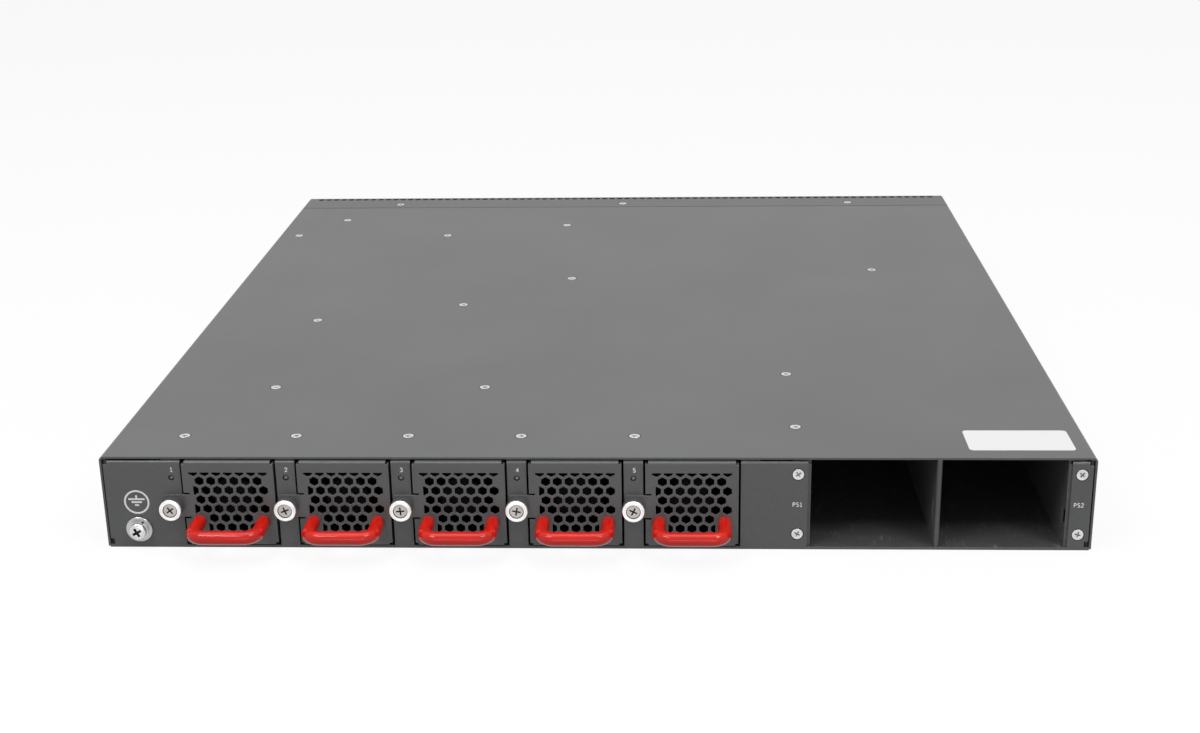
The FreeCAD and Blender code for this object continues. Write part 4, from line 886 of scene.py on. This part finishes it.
def make_earth_mark():
    """Protective earth sign: a stem and three bars inside a ring."""
    x, z = middle("ground_screw").x, middle("ground_screw").z + EARTH_LIFT
    circle = []
    for angle in round_angles(EARTH_STEPS):
        edges = [polar(radius, angle, 0) for radius in (EARTH_INNER, EARTH_OUTER)]
        circle.append([(x + edge.x, z + edge.y) for edge in edges])
    stem_foot = EARTH_BARS[0][1]
    bands = [circle, bar(x - EARTH_LINE, z + stem_foot, x + EARTH_LINE, z + EARTH_STEM_TOP)]
    for half, height in EARTH_BARS:
        bands.append(bar(x - half, z + height - EARTH_LINE, x + half, z + height + EARTH_LINE))
    print_mark("earth_mark", bands, ringed=True)


ARC_STEPS = 10


def arc(x, y, wide, high, start, end):
    """Points of part of an ellipse, with angles in degrees."""
    angles = [math.radians(start + (end - start) * step / ARC_STEPS) for step in range(ARC_STEPS + 1)]
    return [(x + wide * math.cos(angle), y + high * math.sin(angle)) for angle in angles]


# Strokes of each character, one unit tall
STROKES = {
    "1": [[(0.14, 0.8), (0.32, 1.0), (0.32, 0.0)], [(0.1, 0.0), (0.54, 0.0)]],
    "2": [arc(0.32, 0.72, 0.25, 0.28, 170, -35) + [(0.06, 0.0), (0.6, 0.0)]],
    "3": [arc(0.3, 0.76, 0.24, 0.24, 150, -90) + arc(0.3, 0.26, 0.28, 0.26, 90, -150)],
    "4": [[(0.44, 0.0), (0.44, 1.0)], [(0.44, 0.98), (0.04, 0.3), (0.62, 0.3)]],
    "5": [[(0.56, 1.0), (0.14, 1.0), (0.1, 0.56)] + arc(0.3, 0.31, 0.28, 0.31, 110, -145)],
    "P": [[(0.08, 0.0), (0.08, 1.08)], [(0.08, 1.0)] + arc(0.34, 0.74, 0.24, 0.26, 90, -90) + [(0.08, 0.48)]],
    "S": [arc(0.32, 0.75, 0.25, 0.25, 40, 270) + arc(0.32, 0.25, 0.27, 0.25, 90, -140)],
}
ADVANCE = 0.84
LETTER_GAP = 0.2
MIDDLE_LINE = 0.5
STROKE_HALF = 0.1
MITRE_LIMIT = 0.6


def ribbon(points):
    """Pairs of edge points along a line of points, mitred where it turns."""
    sides = []
    last = len(points) - 1
    for index, place in enumerate(points):
        point = Vector(place)
        inward = (point - Vector(points[index - 1])).normalized() if index else None
        onward = (Vector(points[index + 1]) - point).normalized() if index < last else None
        along = ((inward or onward) + (onward or inward)).normalized()
        across = Vector((-along.y, along.x))
        reach = STROKE_HALF / max(MITRE_LIMIT, along.dot(onward or inward))
        sides.append((point + across * reach, point - across * reach))
    return sides


def make_text(name, characters, x, z, tall):
    """Small stroke characters printed on the rear panel."""
    left = -(len(characters) * ADVANCE - LETTER_GAP) / 2
    bands = []
    for index, character in enumerate(characters):
        start = left + index * ADVANCE
        for stroke in STROKES[character]:
            pairs = ribbon([(start + across, height - MIDDLE_LINE) for across, height in stroke])
            bands.append([[(x + edge.x * tall, z + edge.y * tall) for edge in pair] for pair in pairs])
    print_mark(name, bands)


MARK_TALL = 1.85 * MM
NUMBER_HEIGHT = 37.9 * MM
NUMBER_SHIFT = 0.4 * MM
BAY_MARK_HEIGHT = 21.65 * MM
BAY_MARK_LEFT = 5.8 * MM
BAY_MARK_RIGHT = 5.15 * MM

make_earth_mark()
for number in FAN_NUMBERS:
    number_x = thumb_place(number)[0] + NUMBER_SHIFT
    make_text(f"fan_number_{number}", str(number), number_x, NUMBER_HEIGHT, MARK_TALL)
make_text("bay_mark_1", "PS1", PSU_LEFT - BAY_MARK_LEFT, BAY_MARK_HEIGHT, MARK_TALL)
make_text("bay_mark_2", "PS2", PSU_RIGHT + BAY_MARK_RIGHT, BAY_MARK_HEIGHT, MARK_TALL)


# Blank label on the cover

LABEL_RIGHT = 212.5 * MM
LABEL_REAR = REAR + 9.7 * MM
LABEL_WIDE = 46.5 * MM
LABEL_DEEP = 23.7 * MM
LABEL_CORNER = 2.0 * MM
LABEL_THICK = 0.04 * MM
CORNER_STEPS = 8


def make_label():
    """A blank white sticker with round corners near the cover's rear right corner."""
    right, rear = LABEL_RIGHT - LABEL_CORNER, LABEL_REAR + LABEL_CORNER
    left, front = LABEL_RIGHT - LABEL_WIDE + LABEL_CORNER, LABEL_REAR + LABEL_DEEP - LABEL_CORNER
    outline = []
    for x, y, start in ((right, rear, -90), (right, front, 0), (left, front, 90), (left, rear, 180)):
        for step in range(CORNER_STEPS + 1):
            angle = math.radians(start + 90 * step / CORNER_STEPS)
            outline.append((x + LABEL_CORNER * math.cos(angle), y + LABEL_CORNER * math.sin(angle)))
    mesh = bmesh.new()
    loft(mesh, [[mesh.verts.new((x, y, z)) for x, y in outline] for z in (TOP, TOP + LABEL_THICK)])
    piece = from_bmesh("blank_label", mesh)
    dress(piece, CHASSIS, [PAPER])


make_label()


# Row of hexagon vents along the front flange

VENT_COUNT = 82
VENT_PITCH = 5.2 * MM
VENT_ACROSS_FLATS = 4.0 * MM
VENT_SETBACK = 3.2 * MM
VENT_DEPTH = 1.8 * MM
HEX_SIDES = 6
WELD_DISTANCE = 0.001 * MM


def vent_cutter():
    """Hexagon bars through the flange, a corner of each to the front."""
    radius = VENT_ACROSS_FLATS / math.sqrt(3)
    turn = Matrix.Rotation(math.pi / HEX_SIDES, 4, "Z")
    mesh = bmesh.new()
    for index in range(VENT_COUNT):
        x = (index - (VENT_COUNT - 1) / 2) * VENT_PITCH
        place = Matrix.Translation((x, FRONT - VENT_SETBACK, TOP)) @ turn
        lathe(mesh, [(radius, -VENT_DEPTH), (radius, VENT_DEPTH)], HEX_SIDES, place)
    return from_bmesh("vent_cutter", mesh)


def make_front_cap():
    """The front panel again, with the row of vents cut through its flange."""
    shell = bmesh.new()
    shell.from_mesh(nodes["front_panel"].data)
    bmesh.ops.remove_doubles(shell, verts=shell.verts, dist=WELD_DISTANCE)
    draft = from_bmesh("front_cap_draft", shell)
    cutter = vent_cutter()
    cut = draft.modifiers.new("vents", "BOOLEAN")
    cut.operation = "DIFFERENCE"
    cut.solver = "EXACT"
    cut.object = cutter
    bpy.context.view_layer.update()
    shape = bpy.data.meshes.new_from_object(draft.evaluated_get(bpy.context.evaluated_depsgraph_get()))
    bpy.data.objects.remove(draft)
    bpy.data.objects.remove(cutter)
    piece = bpy.data.objects.new("front_cap", shape)
    bpy.context.scene.collection.objects.link(piece)
    dress(piece, CHASSIS, [FRONT_COAT])
    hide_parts("front_panel")


make_front_cap()


# Floor, light and camera, with the room's sizes in metres

FLOOR_HALF = 6.0
FLOOR_ROUGHNESS = 0.9
FLOOR_TO_LIGHT = (0.25, 0.25, 0.25, 1)
FLOOR_TO_CAMERA = (0.9, 0.9, 0.9, 1)
FLOOR_GLOW_SHARE = 0.9
SKY_COLOUR = (0.96, 0.98, 1.0, 1)
SKY_STRENGTH = 0.3
IMAGE_WIDTH = 1200
FOCAL_PIXELS = 1743.7
CAMERA_AT = Vector((38.1, -943.5, 336.4)) * MM
CAMERA_YAW = math.radians(2.74)
CAMERA_PITCH = math.radians(-19.46)
CAMERA_ROLL = math.radians(0.97)


def seen_directly(tree):
    """1 for rays from the camera, in a mirror or through glass, and 0 for light that falls on the object."""
    path = tree.nodes.new("ShaderNodeLightPath")
    total = path.outputs["Is Camera Ray"]
    for name in ("Is Glossy Ray", "Is Transmission Ray"):
        most = tree.nodes.new("ShaderNodeMath")
        most.operation = "MAXIMUM"
        tree.links.new(total, most.inputs[0])
        tree.links.new(path.outputs[name], most.inputs[1])
        total = most.outputs[0]
    return total


def mix_shaders(tree, share, first, second, output):
    """Sends a mix of two shaders to the tree's output."""
    mix = tree.nodes.new("ShaderNodeMixShader")
    for socket, source in zip(mix.inputs, (share, first, second)):
        tree.links.new(source, socket)
    tree.links.new(mix.outputs[0], tree.nodes[output].inputs["Surface"])


def floor_material():
    """Mid grey to the light on the object, and mostly white to the camera."""
    material = bpy.data.materials.new("floor")
    material.use_nodes = True
    tree = material.node_tree
    surface = tree.nodes["Principled BSDF"]
    surface.inputs["Roughness"].default_value = FLOOR_ROUGHNESS
    seen = seen_directly(tree)
    tint = tree.nodes.new("ShaderNodeMix")
    tint.data_type = "RGBA"
    tint.inputs["A"].default_value = FLOOR_TO_LIGHT
    tint.inputs["B"].default_value = FLOOR_TO_CAMERA
    tree.links.new(seen, tint.inputs["Factor"])
    tree.links.new(tint.outputs["Result"], surface.inputs["Base Color"])
    share = tree.nodes.new("ShaderNodeMath")
    share.operation = "MULTIPLY"
    share.inputs[1].default_value = FLOOR_GLOW_SHARE
    tree.links.new(seen, share.inputs[0])
    glow = tree.nodes.new("ShaderNodeEmission")
    mix_shaders(tree, share.outputs[0], surface.outputs[0], glow.outputs[0], "Material Output")
    return material


def make_floor():
    """A plain pale floor that keeps a little of the object's shadow."""
    corners = ((-1, -1), (1, -1), (1, 1), (-1, 1))
    mesh = bmesh.new()
    mesh.faces.new([mesh.verts.new((x * FLOOR_HALF, y * FLOOR_HALF, 0)) for x, y in corners])
    floor = from_bmesh("floor", mesh)
    floor.data.materials.append(floor_material())


def make_world():
    """A dim sky for light, plain white where it is seen."""
    world = bpy.data.worlds.new("studio")
    bpy.context.scene.world = world
    world.use_nodes = True
    tree = world.node_tree
    light = tree.nodes["Background"]
    light.inputs["Color"].default_value = SKY_COLOUR
    light.inputs["Strength"].default_value = SKY_STRENGTH
    white = tree.nodes.new("ShaderNodeBackground")
    white.inputs["Color"].default_value = (1, 1, 1, 1)
    mix_shaders(tree, seen_directly(tree), light.outputs[0], white.outputs[0], "World Output")


def softbox(name, at, target, wide, deep, power):
    """A rectangular lamp aimed at a point."""
    data = bpy.data.lights.new(name, "AREA")
    data.shape = "RECTANGLE"
    data.size = wide
    data.size_y = deep
    data.energy = power
    lamp = bpy.data.objects.new(name, data)
    lamp.location = at
    lamp.rotation_euler = (Vector(target) - Vector(at)).to_track_quat("-Z", "Y").to_euler()
    bpy.context.scene.collection.objects.link(lamp)


def make_camera():
    data = bpy.data.cameras.new("camera")
    data.lens = FOCAL_PIXELS / IMAGE_WIDTH * data.sensor_width
    camera = bpy.data.objects.new("camera", data)
    aim = Matrix.Rotation(CAMERA_YAW, 4, "Z") @ Matrix.Rotation(CAMERA_PITCH, 4, "X")
    level = Matrix.Rotation(CAMERA_ROLL, 4, "Y") @ Matrix.Rotation(math.pi / 2, 4, "X")
    camera.matrix_world = Matrix.Translation(CAMERA_AT) @ aim @ level
    bpy.context.scene.collection.objects.link(camera)
    bpy.context.scene.camera = camera


make_floor()
make_world()
softbox("overhead", at=(0.0, -0.3, 1.5), target=(0, -0.1, 0), wide=1.6, deep=0.9, power=12)
softbox("key_left", at=(-0.7, -0.85, 1.3), target=(0, -0.2, 0), wide=0.7, deep=0.25, power=7)
softbox("key_right", at=(0.75, -0.85, 1.3), target=(0, -0.2, 0), wide=0.5, deep=0.25, power=6)
softbox("front", at=(0.2, -2.2, 0.2), target=(0.05, -0.2, 0), wide=1.6, deep=0.3, power=4.5)
make_camera()
bpy.context.scene.view_settings.view_transform = "Standard"
